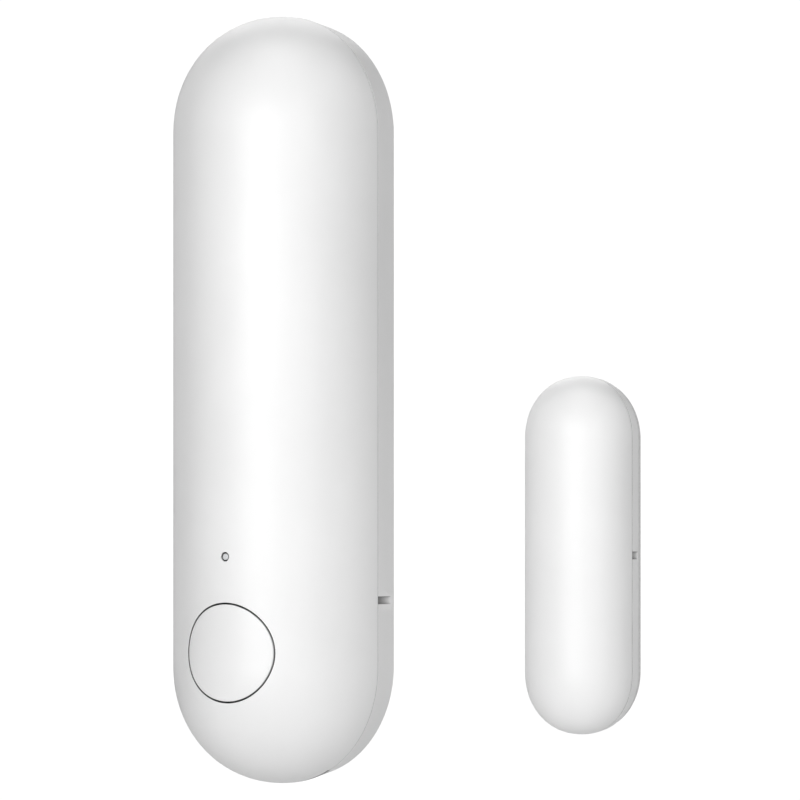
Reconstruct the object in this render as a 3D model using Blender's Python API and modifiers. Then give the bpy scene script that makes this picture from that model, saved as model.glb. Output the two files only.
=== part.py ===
"""Door contact sensor: a wall unit with a reed switch, and the magnet unit that passes beside it.

Metres, +Z up, fronts towards -Y. The origin is the centre of the wall unit's adhesive face. Every
"depth" below counts forward from the wall, so a depth d lies at y = -d.
"""

import math
from collections import namedtuple

import bmesh
import bpy
from mathutils import Matrix

MM = 0.001

# The two housings: a capsule outline with softened ends, a drafted wall, and a domed front. A softness
# of 2 makes an end a true half ellipse, and a higher one makes it squarer. The dome counts from the rim.
Unit = namedtuple("Unit", "name centre_x centre_z length half_width dome end_run softness wall draft")
MAIN = Unit(
    "main", 0.0, 0.0, 84.0 * MM, 11.83 * MM, 12.8 * MM, 12.84 * MM, 2.07, 4.8 * MM, 0.67 * MM
)
MAGNET = Unit(
    "magnet", 35.7 * MM, -16.9 * MM, 39.0 * MM, 6.23 * MM, 6.03 * MM, 6.82 * MM, 2.1, 1.74 * MM, 0.15 * MM
)
BACK_SOFTNESS = 2.0
END_STEPS = 8
DOME_STEPS = 20

# Fits
TOUCH_GAP = 0.1 * MM
SEAM_GAP = 0.2 * MM
SLIP = 0.2 * MM

# Adhesive pads
PAD_THICKNESS = 0.8 * MM
MAIN_PAD_INSET = 1.5 * MM
MAGNET_PAD_INSET = 0.3 * MM
BACK_DEPTH = PAD_THICKNESS + 1.5 * TOUCH_GAP
BACK_ROUNDING = 0.2 * MM

# Shells
COVER_WALL = 1.2 * MM
BASE_WALL = 2.0 * MM
BASE_FLOOR = 1.4 * MM
TONGUE_INSET = 1.4 * MM
TONGUE_RISE = 1.3 * MM
MAGNET_COVER_WALL = 1.0 * MM
MAGNET_BASE_WALL = 1.6 * MM
MAGNET_FLOOR = 1.0 * MM
MAGNET_TONGUE_INSET = 1.15 * MM
MAGNET_TONGUE_RISE = 0.8 * MM

# Marks and slots on the bases
MARK_HEIGHT = 0.85 * MM
MARK_LIP = 0.05 * MM
MARK_REACH_SHARE = 0.8
MARK_STEPS = 5
MAIN_MARK_Z = -21.9 * MM
MAIN_MARK_CUT = 1.1 * MM
MAGNET_MARK_CUT = 0.8 * MM
PRY_SLOT_HALF_LENGTH = 5.7 * MM
PRY_SLOT_CUT = 1.1 * MM
PRY_SLOT_BEHIND = 0.25 * MM
PRY_SLOT_BEFORE = 0.35 * MM
PRY_SLOT_STEPS = 10
LATCH_ZS = (12.0 * MM, -12.0 * MM)
LATCH_WIDTH = 4.4 * MM
LATCH_INSET = 1.05 * MM
LATCH_THICKNESS = 0.85 * MM
LATCH_REACH = 1.25 * MM
LATCH_ROOT = 2.6 * MM

# Push button
BUTTON_Z = -27.6 * MM
BUTTON_HOLE_RADIUS = 5.5 * MM
BUTTON_FLANGE_RADIUS = 6.4 * MM
BUTTON_FLANGE_GAP = 0.15 * MM
BUTTON_FLANGE_THICKNESS = 0.8 * MM
BUTTON_COLLAR_RADIUS = 6.5 * MM
BUTTON_COLLAR_REACH = 1.15 * MM
BUTTON_CAP_WALL = 1.2 * MM
BUTTON_CAP_SKIRT = 1.0 * MM
BUTTON_STEM_RADIUS = 1.9 * MM
BUTTON_CLEAR = 4.0 * MM

# Circuit board and its screws
BOARD_BACK = 4.0 * MM
BOARD_FRONT = 5.0 * MM
BOARD_INSET = 2.4 * MM
SCREW_PLACES = {
    "board_screw_upper_left": (-7.8 * MM, 24.0 * MM),
    "board_screw_upper_right": (7.8 * MM, 24.0 * MM),
    "board_screw_lower": (0.0, -36.0 * MM),
}
SCREW_HEAD_RADIUS = 1.4 * MM
SCREW_HEAD_HEIGHT = 0.9 * MM
SCREW_SHANK_RADIUS = 0.6 * MM
SCREW_REACH = 2.2 * MM
BOSS_RADIUS = 1.8 * MM
BOSS_BACK = 2.0 * MM
DRIVE_LENGTH_SHARE = 0.62
DRIVE_WIDTH_SHARE = 0.16
DRIVE_DEPTH_SHARE = 0.55

# Cell, a round AAA, with its holder and contacts
CELL_RADIUS = 5.25 * MM
CELL_DEPTH = 10.45 * MM
CELL_LENGTH = 44.5 * MM
CELL_TOP = 34.8 * MM
CELL_NUB_RADIUS = 1.9 * MM
CELL_NUB_HEIGHT = 1.0 * MM
SLEEVE_THICKNESS = 0.16 * MM
SLEEVE_GAP = 0.04 * MM
SLEEVE_MARGIN = 0.2 * MM
SEAL_THICKNESS = 0.3 * MM
HOLDER_HALF_WIDTH = 6.2 * MM
HOLDER_TOP = 36.6 * MM
HOLDER_BOTTOM = -14.4 * MM
HOLDER_FRONT = 9.5 * MM
HOLDER_END_FRONT = 12.0 * MM
HOLDER_END_HALF_WIDTH = 4.2 * MM
HOLDER_WALL = 1.1 * MM
CONTACT_THICKNESS = 0.3 * MM
CONTACT_HALF_WIDTH = 3.4 * MM
CONTACT_FRONT = 13.0 * MM
DIMPLE_TIP_RADIUS = 1.1 * MM
DIMPLE_ROOT_RADIUS = 1.7 * MM
SPRING_WIRE_RADIUS = 0.25 * MM
SPRING_WIDE_RADIUS = 3.0 * MM
SPRING_NARROW_RADIUS = 1.8 * MM
SPRING_TURNS = 3.5

# Reed switch, standing beside the alignment mark
REED_X = 7.4 * MM
REED_RADIUS = 1.05 * MM
REED_LENGTH = 13.0 * MM
REED_WIRE_RADIUS = 0.25 * MM
REED_WIRE_OUT = 1.3 * MM
REED_OVERLAP = 0.9 * MM
REED_NECK_LENGTH = 1.4 * MM
REED_END_ROUNDING = 0.6 * MM
REED_BORE_SHARE = 0.62
REED_FLAT_START = 2.2 * MM
REED_FLAT_ROOT = 0.3 * MM
REED_FLAT_HALF_WIDTH = 0.4 * MM
REED_FLAT_HALF_THICKNESS = 0.09 * MM
REED_FLAT_OFFSET = 0.12 * MM
REED_BEND = 0.5 * MM

# Tact switch below the button
SWITCH_SIDE = 6.0 * MM
SWITCH_FRONT = 8.3 * MM
SWITCH_PLATE = 0.3 * MM
SWITCH_WELL_FLOOR = 6.1 * MM
PLUNGER_RADIUS = 1.7 * MM
PLUNGER_BACK = 6.5 * MM
PLUNGER_FRONT = 9.9 * MM

# Light guide above the button
LIGHT_Z = -17.1 * MM
LIGHT_HOLE_RADIUS = 0.52 * MM
LIGHT_TIP_RADIUS = 0.35 * MM
LIGHT_TIP_DROP = 0.25 * MM
LIGHT_BODY_RADIUS = 0.8 * MM
LIGHT_BACK = 6.0 * MM
LIGHT_SHOULDER = 16.4 * MM
LIGHT_SLEEVE_RADIUS = 1.7 * MM
LIGHT_SLEEVE_BACK = 13.0 * MM

# Surface-mounted pieces: name -> (x, z, width, height, thickness)
CHIPS = {
    "status_led": (0.0, LIGHT_Z, 1.6 * MM, 0.8 * MM, 0.65 * MM),
    "crystal_oscillator": (-6.1 * MM, -16.8 * MM, 3.2 * MM, 2.2 * MM, 0.7 * MM),
    "power_converter_chip": (7.8 * MM, 2.0 * MM, 2.0 * MM, 2.0 * MM, 0.8 * MM),
    "boost_inductor": (7.8 * MM, 7.0 * MM, 2.4 * MM, 3.0 * MM, 1.5 * MM),
    "storage_capacitor": (7.8 * MM, -4.0 * MM, 2.4 * MM, 3.5 * MM, 1.8 * MM),
    "filter_capacitor_upper": (-7.8 * MM, 6.0 * MM, 1.25 * MM, 2.0 * MM, 0.9 * MM),
    "filter_capacitor_lower": (-7.8 * MM, 1.0 * MM, 1.25 * MM, 2.0 * MM, 0.9 * MM),
}

# Radio module
RADIO_X = -6.1 * MM
RADIO_Z = -25.4 * MM
RADIO_WIDTH = 4.8 * MM
RADIO_HEIGHT = 13.0 * MM
RADIO_BOARD = 0.6 * MM
SHIELD_WIDTH = 4.2 * MM
SHIELD_HEIGHT = 8.4 * MM
SHIELD_THICKNESS = 1.5 * MM
SHIELD_SHEET = 0.2 * MM
ANTENNA_SIZE = (3.2 * MM, 1.6 * MM, 1.2 * MM)

# Magnet and its foam
BAR_WIDTH = 6.0 * MM
BAR_THICKNESS = 4.0 * MM
BAR_LENGTH = 25.0 * MM
BAR_BACK = BACK_DEPTH + MAGNET_FLOOR + TOUCH_GAP
CRADLE_WALL = 0.7 * MM
CRADLE_FRONT = 3.5 * MM
FOAM_WIDTH = 3.6 * MM
FOAM_LENGTH = 20.0 * MM
FOAM_FRONT = 7.4 * MM

ROUND_STEPS = 40
SMALL_STEPS = 20

MATERIALS = {
    "white_shell": ((0.86, 0.86, 0.86), 0.38, 0.0),
    "white_base": ((0.82, 0.82, 0.82), 0.45, 0.0),
    "button_cap": ((0.87, 0.87, 0.87), 0.36, 0.0),
    "light_guide": ((0.8, 0.82, 0.83), 0.15, 0.0),
    "foam_tape": ((0.75, 0.75, 0.72), 0.9, 0.0),
    "foam": ((0.08, 0.08, 0.09), 0.95, 0.0),
    "board": ((0.02, 0.16, 0.07), 0.5, 0.0),
    "black_plastic": ((0.02, 0.02, 0.022), 0.5, 0.0),
    "steel": ((0.6, 0.6, 0.61), 0.3, 1.0),
    "spring_steel": ((0.66, 0.64, 0.6), 0.28, 1.0),
    "nickel": ((0.68, 0.66, 0.62), 0.25, 1.0),
    "cell_sleeve": ((0.05, 0.22, 0.12), 0.35, 0.0),
    "cell_seal": ((0.82, 0.8, 0.76), 0.6, 0.0),
    "glass": ((0.55, 0.68, 0.6), 0.05, 0.0),
    "ceramic": ((0.78, 0.74, 0.66), 0.45, 0.0),
    "capacitor": ((0.5, 0.36, 0.2), 0.45, 0.0),
    "tantalum": ((0.72, 0.5, 0.12), 0.45, 0.0),
    "led_body": ((0.85, 0.83, 0.7), 0.4, 0.0),
    "switch_plunger": ((0.75, 0.72, 0.68), 0.5, 0.0),
    "ferrite": ((0.1, 0.1, 0.11), 0.55, 0.2),
}

SEAM = BACK_DEPTH + MAIN.wall


# ---------------------------------------------------------------- scene helpers


def clear_scene():
    for thing in list(bpy.data.objects):
        bpy.data.objects.remove(thing, do_unlink=True)


def make_collection(name):
    collection = bpy.data.collections.new(name)
    bpy.context.scene.collection.children.link(collection)
    return collection


def make_material(name):
    colour, roughness, metallic = MATERIALS[name]
    material = bpy.data.materials.new(name)
    material.use_nodes = True
    shader = material.node_tree.nodes["Principled BSDF"]
    shader.inputs["Base Color"].default_value = (*colour, 1.0)
    shader.inputs["Roughness"].default_value = roughness
    shader.inputs["Metallic"].default_value = metallic
    return material


clear_scene()
PARTS = make_collection("door_contact_sensor")
CUTTERS = make_collection("cutters")
MATERIAL = {name: make_material(name) for name in MATERIALS}


def make_group(name, x=0.0, z=0.0):
    """An empty that carries the pieces of one moving body."""
    group = bpy.data.objects.new(name, None)
    group.location = (x, 0.0, z)
    PARTS.objects.link(group)
    return group


def object_from(bm, name, material=None, group=None, smooth=32.0):
    """Turn a bmesh into a piece, or into a hidden cutter when it has no material."""
    bmesh.ops.recalc_face_normals(bm, faces=bm.faces)
    mesh = bpy.data.meshes.new(name)
    bm.to_mesh(mesh)
    bm.free()
    mesh.shade_smooth()
    mesh.set_sharp_from_angle(angle=math.radians(smooth))
    piece = bpy.data.objects.new(name, mesh)
    piece.parent = group
    if material:
        mesh.materials.append(MATERIAL[material])
        PARTS.objects.link(piece)
    else:
        piece.hide_render = True
        piece.display_type = "WIRE"
        CUTTERS.objects.link(piece)
    return piece


def combine(piece, operation, *others):
    for other in others:
        modifier = piece.modifiers.new(other.name, "BOOLEAN")
        modifier.operation = operation
        modifier.object = other


def cut(piece, *cutters):
    combine(piece, "DIFFERENCE", *cutters)


def join(piece, *others):
    combine(piece, "UNION", *others)


def keep_inside(piece, *others):
    combine(piece, "INTERSECT", *others)


# ---------------------------------------------------------------- form helpers


def box(name, low, high, material=None, group=None, bevel=0.0):
    """Box between two corners given as (x, depth, z)."""
    size = [abs(b - a) for a, b in zip(low, high)]
    centre = [(a + b) / 2 for a, b in zip(low, high)]
    bm = bmesh.new()
    bmesh.ops.create_cube(bm, size=1.0)
    bmesh.ops.scale(bm, vec=size, verts=bm.verts)
    bmesh.ops.translate(bm, vec=(centre[0], -centre[1], centre[2]), verts=bm.verts)
    if bevel:
        bmesh.ops.bevel(bm, geom=bm.edges[:], offset=bevel, segments=2, profile=0.5, affect="EDGES")
    return object_from(bm, name, material, group)


def rod(name, radius, back, front, x, z, steps=SMALL_STEPS, material=None, group=None):
    """Cylinder along Y between two depths."""
    bm = bmesh.new()
    bmesh.ops.create_cone(
        bm, cap_ends=True, segments=steps, radius1=radius, radius2=radius, depth=front - back,
        matrix=Matrix.Translation((x, -(front + back) / 2, z)) @ Matrix.Rotation(math.pi / 2, 4, "X"),
    )
    return object_from(bm, name, material, group)


def turned(name, profile, x, depth, z, along_y, steps, material, group=None):
    """Solid of revolution. The profile's (radius, height) points run down the outer side."""
    bm = bmesh.new()
    points = [bm.verts.new((radius, 0.0, height)) for radius, height in profile]
    for first, second in zip(points, points[1:]):
        bm.edges.new((first, second))
    if profile[0][0] > 0.0:
        bm.edges.new((points[-1], points[0]))
    mesh = bpy.data.meshes.new(name)
    bm.to_mesh(mesh)
    bm.free()
    mesh.materials.append(MATERIAL[material])
    piece = bpy.data.objects.new(name, mesh)
    piece.location = (x, -depth, z)
    piece.rotation_euler = (math.pi / 2 if along_y else 0.0, 0.0, 0.0)
    piece.parent = group
    PARTS.objects.link(piece)
    screw = piece.modifiers.new("turn", "SCREW")
    screw.steps = steps
    screw.render_steps = steps
    screw.use_merge_vertices = True
    screw.merge_threshold = 0.000001
    return piece


def quarter_end(unit, inset, softness):
    """Points of a quarter of a softened end, from the widest line up to the tip."""
    width = unit.half_width - inset
    run = unit.end_run - inset
    straight = unit.length / 2 - unit.end_run
    power = 2 / softness
    angles = [math.pi / 2 * i / END_STEPS for i in range(END_STEPS + 1)]
    return [(width * math.cos(a) ** power, straight + run * math.sin(a) ** power) for a in angles]


def outline(unit, inset, softness=None):
    """The housing's closed outline seen from the front, inset evenly."""
    quarter = quarter_end(unit, inset, softness or unit.softness)
    upper = quarter + [(-x, z) for x, z in reversed(quarter[:-1])]
    return upper + [(-x, -z) for x, z in upper]


def through_loops(bm, loops):
    """Close a solid through loops of vertices, capped at both ends."""
    for first, second in zip(loops, loops[1:]):
        for i in range(len(first)):
            j = (i + 1) % len(first)
            bm.faces.new((first[i], first[j], second[j], second[i]))
    bm.faces.new(loops[0])
    bm.faces.new(loops[-1])


def loft(name, sections, material=None, group=None, smooth=32.0):
    """Closed solid through outlines, each given with its depth."""
    bm = bmesh.new()
    through_loops(bm, [[bm.verts.new((x, -depth, z)) for x, z in points] for points, depth in sections])
    return object_from(bm, name, material, group, smooth)


def prism(name, points, bottom, top, group=None):
    """Cutter with a flat shape of (x, depth) points, standing up between two heights."""
    bm = bmesh.new()
    through_loops(bm, [[bm.verts.new((x, -depth, z)) for x, depth in points] for z in (bottom, top)])
    return object_from(bm, name, None, group)


def plate(name, unit, inset, back, front, material=None, group=None, softness=None):
    shape = outline(unit, inset, softness)
    return loft(name, [(shape, back), (shape, front)], material, group)


def dome(name, unit, inset, rim, skirt=0.0, material=None, group=None):
    """Half-capsule solid, inset from the unit's skin, with its flat side at the rim's depth.

    A skirt carries it on past the rim, which keeps a cutter's end clear of the piece it cuts.
    """
    quarter = quarter_end(unit, inset, unit.softness)
    side = list(reversed(quarter)) + [(x, -z) for x, z in quarter]
    bm = bmesh.new()
    points = [bm.verts.new((x, 0.0, z)) for x, z in side]
    edges = [bm.edges.new(pair) for pair in zip(points, points[1:])]
    bmesh.ops.spin(
        bm, geom=points + edges, cent=(0, 0, 0), axis=(0, 0, 1), dvec=(0, 0, 0),
        angle=-math.pi, steps=DOME_STEPS, use_duplicate=False,
    )
    bmesh.ops.remove_doubles(bm, verts=bm.verts, dist=0.000001)
    rise = (unit.dome - inset) / (unit.half_width - inset)
    bmesh.ops.scale(bm, vec=(1.0, rise, 1.0), verts=bm.verts)
    open_edges = [edge for edge in bm.edges if edge.is_boundary]
    flat = bmesh.ops.contextual_create(bm, geom=open_edges)["faces"]
    if skirt:
        grown = bmesh.ops.extrude_face_region(bm, geom=flat)["geom"]
        moved = [v for v in grown if isinstance(v, bmesh.types.BMVert)]
        bmesh.ops.delete(bm, geom=flat, context="FACES_ONLY")
        bmesh.ops.translate(bm, vec=(0.0, skirt, 0.0), verts=moved)
    bmesh.ops.translate(bm, vec=(0.0, -rim, 0.0), verts=bm.verts)
    return object_from(bm, name, material, group)


def wire_mesh(points, radius):
    """Round wire through points, as a bmesh with its caps welded on."""
    curve = bpy.data.curves.new("wire", "CURVE")
    curve.dimensions = "3D"
    curve.bevel_depth = radius
    curve.bevel_resolution = 2
    curve.use_fill_caps = True
    spline = curve.splines.new("POLY")
    spline.points.add(len(points) - 1)
    for point, place in zip(spline.points, points):
        point.co = (*place, 1.0)
    holder = bpy.data.objects.new("wire", curve)
    CUTTERS.objects.link(holder)
    bpy.context.view_layer.update()
    mesh = bpy.data.meshes.new_from_object(holder.evaluated_get(bpy.context.evaluated_depsgraph_get()))
    bpy.data.objects.remove(holder, do_unlink=True)
    bm = bmesh.new()
    bm.from_mesh(mesh)
    bpy.data.meshes.remove(mesh)
    bmesh.ops.remove_doubles(bm, verts=bm.verts, dist=0.000001)
    return bm


# ---------------------------------------------------------------- shells


def adhesive_pad(unit, group, pad_inset):
    name, inset = f"{unit.name}_adhesive_pad", unit.draft + pad_inset
    plate(name, unit, inset, 0.0, PAD_THICKNESS, "foam_tape", group, BACK_SOFTNESS)


def base_tray(unit, group, wall, floor, tongue_inset, tongue_rise):
    """Back tray: drafted wall with a rounded back edge, floor, and a tongue that locates the cover."""
    seam = BACK_DEPTH + unit.wall
    sections = [(outline(unit, 0.0), seam)]
    for turn in (0.0, 30.0, 60.0, 90.0):
        inset = unit.draft + BACK_ROUNDING * (1.0 - math.cos(math.radians(turn)))
        rise = BACK_ROUNDING * (1.0 - math.sin(math.radians(turn)))
        sections.append((outline(unit, inset, BACK_SOFTNESS), BACK_DEPTH + rise))
    base = loft(f"{unit.name}_base", sections, "white_base", group)
    tongue = plate(f"{unit.name}_tongue", unit, tongue_inset, seam - wall / 4, seam + tongue_rise, None, group)
    pocket = plate(f"{unit.name}_pocket", unit, wall, BACK_DEPTH + floor, seam + 2 * tongue_rise, None, group)
    join(base, tongue)
    cut(base, pocket)
    return base


def side_marks(base, unit, group, z, deep):
    """An upright mark scooped into each side, deepest at the seam, where the two units line up."""
    front, reach = BACK_DEPTH + unit.wall, MARK_REACH_SHARE * unit.wall
    curve = [(deep, front + SEAM_GAP)]
    for i in range(MARK_STEPS + 1):
        share = i / MARK_STEPS
        surface = unit.draft * MARK_REACH_SHARE * share
        curve.append((surface + MARK_LIP + (deep - MARK_LIP) * (1 - share) ** 2, front - reach * share))
    curve += [(-MM, front - reach), (-MM, front + SEAM_GAP)]
    for side, sign in (("right", 1), ("left", -1)):
        points = [(sign * (unit.half_width - inset), depth) for inset, depth in curve]
        name = f"{unit.name}_mark_{side}"
        cut(base, prism(name, points, z - MARK_HEIGHT / 2, z + MARK_HEIGHT / 2, group))


def pry_slot(piece, group=None):
    """Slot round the lower end, across the seam, where a tool lifts the cover off."""
    width, run = MAIN.half_width - PRY_SLOT_CUT, MAIN.end_run - PRY_SLOT_CUT
    straight = MAIN.length / 2 - MAIN.end_run
    band = [(PRY_SLOT_HALF_LENGTH, -MAIN.length), (-PRY_SLOT_HALF_LENGTH, -MAIN.length)]
    for i in range(PRY_SLOT_STEPS + 1):
        x = PRY_SLOT_HALF_LENGTH * (2 * i / PRY_SLOT_STEPS - 1)
        share = (1 - (abs(x) / width) ** MAIN.softness) ** (1 / MAIN.softness)
        band.append((x, -straight - run * share))
    sections = [(band, SEAM - PRY_SLOT_BEHIND), (band, SEAM + PRY_SLOT_BEFORE)]
    cut(piece, loft(f"{piece.name}_pry_slot", sections, None, group))


def cover_shell(unit, group, wall):
    rim = BACK_DEPTH + unit.wall + SEAM_GAP
    cover = dome(f"{unit.name}_front_cover", unit, 0.0, rim, 0.0, "white_shell", group)
    cut(cover, dome(f"{unit.name}_cover_hollow", unit, wall, rim, 2 * MM, None, group))
    return cover


# ---------------------------------------------------------------- wall unit


def main_base():
    base = base_tray(MAIN, None, BASE_WALL, BASE_FLOOR, TONGUE_INSET, TONGUE_RISE)
    for name, (x, z) in SCREW_PLACES.items():
        join(base, rod(f"{name}_boss", BOSS_RADIUS, BOSS_BACK, BOARD_BACK - TOUCH_GAP, x, z))
    for name, (x, z) in SCREW_PLACES.items():
        hole_floor = BOARD_BACK - SCREW_REACH - TOUCH_GAP
        cut(base, rod(f"{name}_hole", SCREW_SHANK_RADIUS + TOUCH_GAP, hole_floor, SEAM, x, z))
    for z in LATCH_ZS:
        for side in (1, -1):
            inner = side * (MAIN.half_width - BASE_WALL - TOUCH_GAP)
            outer = side * (MAIN.half_width - LATCH_INSET + TOUCH_GAP)
            low = (min(inner, outer), SEAM - LATCH_REACH - SLIP, z - LATCH_WIDTH / 2 - SLIP)
            high = (max(inner, outer), SEAM + 2 * TONGUE_RISE, z + LATCH_WIDTH / 2 + SLIP)
            cut(base, box("latch_pocket", low, high))
    side_marks(base, MAIN, None, MAIN_MARK_Z, MAIN_MARK_CUT)
    pry_slot(base)


def main_front_cover(group):
    cover = cover_shell(MAIN, group, COVER_WALL)
    sleeve_front = SEAM + SEAM_GAP + MAIN.dome - COVER_WALL / 2
    join(cover, rod("light_sleeve", LIGHT_SLEEVE_RADIUS, LIGHT_SLEEVE_BACK, sleeve_front, 0.0, LIGHT_Z))
    bore = LIGHT_BODY_RADIUS + SLIP / 2
    cut(cover, rod("light_sleeve_bore", bore, LIGHT_SLEEVE_BACK - MM, LIGHT_SHOULDER + SLIP, 0.0, LIGHT_Z))
    cut(cover, rod("light_hole", LIGHT_HOLE_RADIUS, LIGHT_BACK, 2 * MAIN.dome, 0.0, LIGHT_Z))
    for z in LATCH_ZS:
        for side in (1, -1):
            outer = side * (MAIN.half_width - LATCH_INSET)
            inner = side * (MAIN.half_width - LATCH_INSET - LATCH_THICKNESS)
            low = (min(inner, outer), SEAM - LATCH_REACH, z - LATCH_WIDTH / 2)
            high = (max(inner, outer), SEAM + LATCH_ROOT, z + LATCH_WIDTH / 2)
            join(cover, box("latch_tab", low, high, None, group))
    rim, back, front = SEAM + SEAM_GAP, SEAM + BUTTON_CLEAR, 2 * MAIN.dome
    collar = dome("button_collar", MAIN, COVER_WALL / 2, rim, 0.0, None, group)
    keep_inside(collar, rod("collar_reach", BUTTON_COLLAR_RADIUS, back, front, 0.0, BUTTON_Z, ROUND_STEPS))
    cut(collar, dome("collar_hollow", MAIN, COVER_WALL + BUTTON_COLLAR_REACH, rim, 2 * MM))
    join(cover, collar)
    cut(cover, rod("button_hole", BUTTON_HOLE_RADIUS, back, front, 0.0, BUTTON_Z, ROUND_STEPS))
    pry_slot(cover, group)


def pair_button(group):
    """Hollow cap cut from the dome itself, a flange behind the cover's collar, and a stem."""
    rim = SEAM + SEAM_GAP
    flange_inset = COVER_WALL + BUTTON_COLLAR_REACH + BUTTON_FLANGE_GAP
    inner_inset = flange_inset + BUTTON_FLANGE_THICKNESS
    back, front = SEAM + BUTTON_CLEAR, 2 * MAIN.dome
    cap_radius = BUTTON_HOLE_RADIUS - SLIP
    cap = dome("pair_button", MAIN, 0.0, rim, 0.0, "button_cap", group)
    keep_inside(cap, rod("button_reach", cap_radius, back, front, 0.0, BUTTON_Z, ROUND_STEPS))
    cut(cap, dome("button_hollow", MAIN, inner_inset, rim, 2 * MM))
    flange = dome("button_flange", MAIN, flange_inset, rim)
    keep_inside(flange, rod("flange_reach", BUTTON_FLANGE_RADIUS, back, front, 0.0, BUTTON_Z, ROUND_STEPS))
    cut(flange, dome("flange_hollow", MAIN, inner_inset, rim, 2 * MM))
    join(cap, flange)
    cavity = dome("button_cavity", MAIN, BUTTON_CAP_WALL, rim)
    cavity_radius = cap_radius - BUTTON_CAP_SKIRT
    keep_inside(cavity, rod("cavity_reach", cavity_radius, back, front, 0.0, BUTTON_Z, ROUND_STEPS))
    cut(cap, cavity)
    stem_front = rim + MAIN.dome - BUTTON_CAP_WALL / 2
    join(cap, rod("button_stem", BUTTON_STEM_RADIUS, PLUNGER_FRONT + TOUCH_GAP, stem_front, 0.0, BUTTON_Z))


def light_pipe(group):
    tip = SEAM + SEAM_GAP + MAIN.dome - LIGHT_TIP_DROP
    profile = [
        (0.0, tip), (LIGHT_TIP_RADIUS, tip), (LIGHT_TIP_RADIUS, LIGHT_SHOULDER),
        (LIGHT_BODY_RADIUS, LIGHT_SHOULDER), (LIGHT_BODY_RADIUS, LIGHT_BACK), (0.0, LIGHT_BACK),
    ]
    turned("led_light_pipe", profile, 0.0, 0.0, LIGHT_Z, True, SMALL_STEPS, "light_guide", group)


def circuit_board():
    board = plate("circuit_board", MAIN, BOARD_INSET, BOARD_BACK, BOARD_FRONT, "board")
    for name, (x, z) in SCREW_PLACES.items():
        cut(board, rod(f"{name}_board_hole", SCREW_SHANK_RADIUS + SLIP, BOARD_BACK - MM, BOARD_FRONT + MM, x, z))


def board_screws():
    seat = BOARD_FRONT + TOUCH_GAP
    top = seat + SCREW_HEAD_HEIGHT
    end = BOARD_BACK - SCREW_REACH
    shank = SCREW_SHANK_RADIUS
    profile = [
        (0.0, top), (SCREW_HEAD_RADIUS * 0.6, top), (SCREW_HEAD_RADIUS, top - SCREW_HEAD_HEIGHT * 0.4),
        (SCREW_HEAD_RADIUS, seat), (shank, seat), (shank, end + shank), (0.0, end),
    ]
    slot = SCREW_HEAD_HEIGHT * DRIVE_DEPTH_SHARE
    wide, narrow = SCREW_HEAD_RADIUS * DRIVE_LENGTH_SHARE, SCREW_HEAD_RADIUS * DRIVE_WIDTH_SHARE
    for name, (x, z) in SCREW_PLACES.items():
        screw = turned(name, profile, x, 0.0, z, True, SMALL_STEPS, "steel")
        for index, (across, up) in enumerate(((wide, narrow), (narrow, wide))):
            low = (x - across, top - slot, z - up)
            high = (x + across, top + MM, z + up)
            cut(screw, box(f"{name}_drive_{index}", low, high))


def cell(group):
    bottom = CELL_TOP - CELL_LENGTH
    shoulder = CELL_TOP - CELL_NUB_HEIGHT
    can_radius = CELL_RADIUS - SLEEVE_THICKNESS - SLEEVE_GAP
    seal_outer = can_radius - SLIP
    groove = shoulder - SEAL_THICKNESS
    can = [
        (0.0, CELL_TOP), (CELL_NUB_RADIUS, CELL_TOP),
        (CELL_NUB_RADIUS, groove), (seal_outer + TOUCH_GAP, groove), (seal_outer + TOUCH_GAP, shoulder),
        (can_radius, shoulder), (can_radius, bottom), (0.0, bottom),
    ]
    turned("battery_can", can, 0.0, CELL_DEPTH, 0.0, False, 32, "nickel", group)
    seal_inner = CELL_NUB_RADIUS + TOUCH_GAP
    seal_low = groove + TOUCH_GAP / 2
    seal = [(seal_outer, shoulder), (seal_outer, seal_low), (seal_inner, seal_low), (seal_inner, shoulder)]
    turned("battery_insulator_ring", seal, 0.0, CELL_DEPTH, 0.0, False, 32, "cell_seal", group)
    sleeve_top, sleeve_low = shoulder - SLEEVE_MARGIN, bottom + SLEEVE_MARGIN
    inner = can_radius + SLEEVE_GAP
    sleeve = [(CELL_RADIUS, sleeve_top), (CELL_RADIUS, sleeve_low), (inner, sleeve_low), (inner, sleeve_top)]
    turned("battery_sleeve", sleeve, 0.0, CELL_DEPTH, 0.0, False, 32, "cell_sleeve", group)


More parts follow.
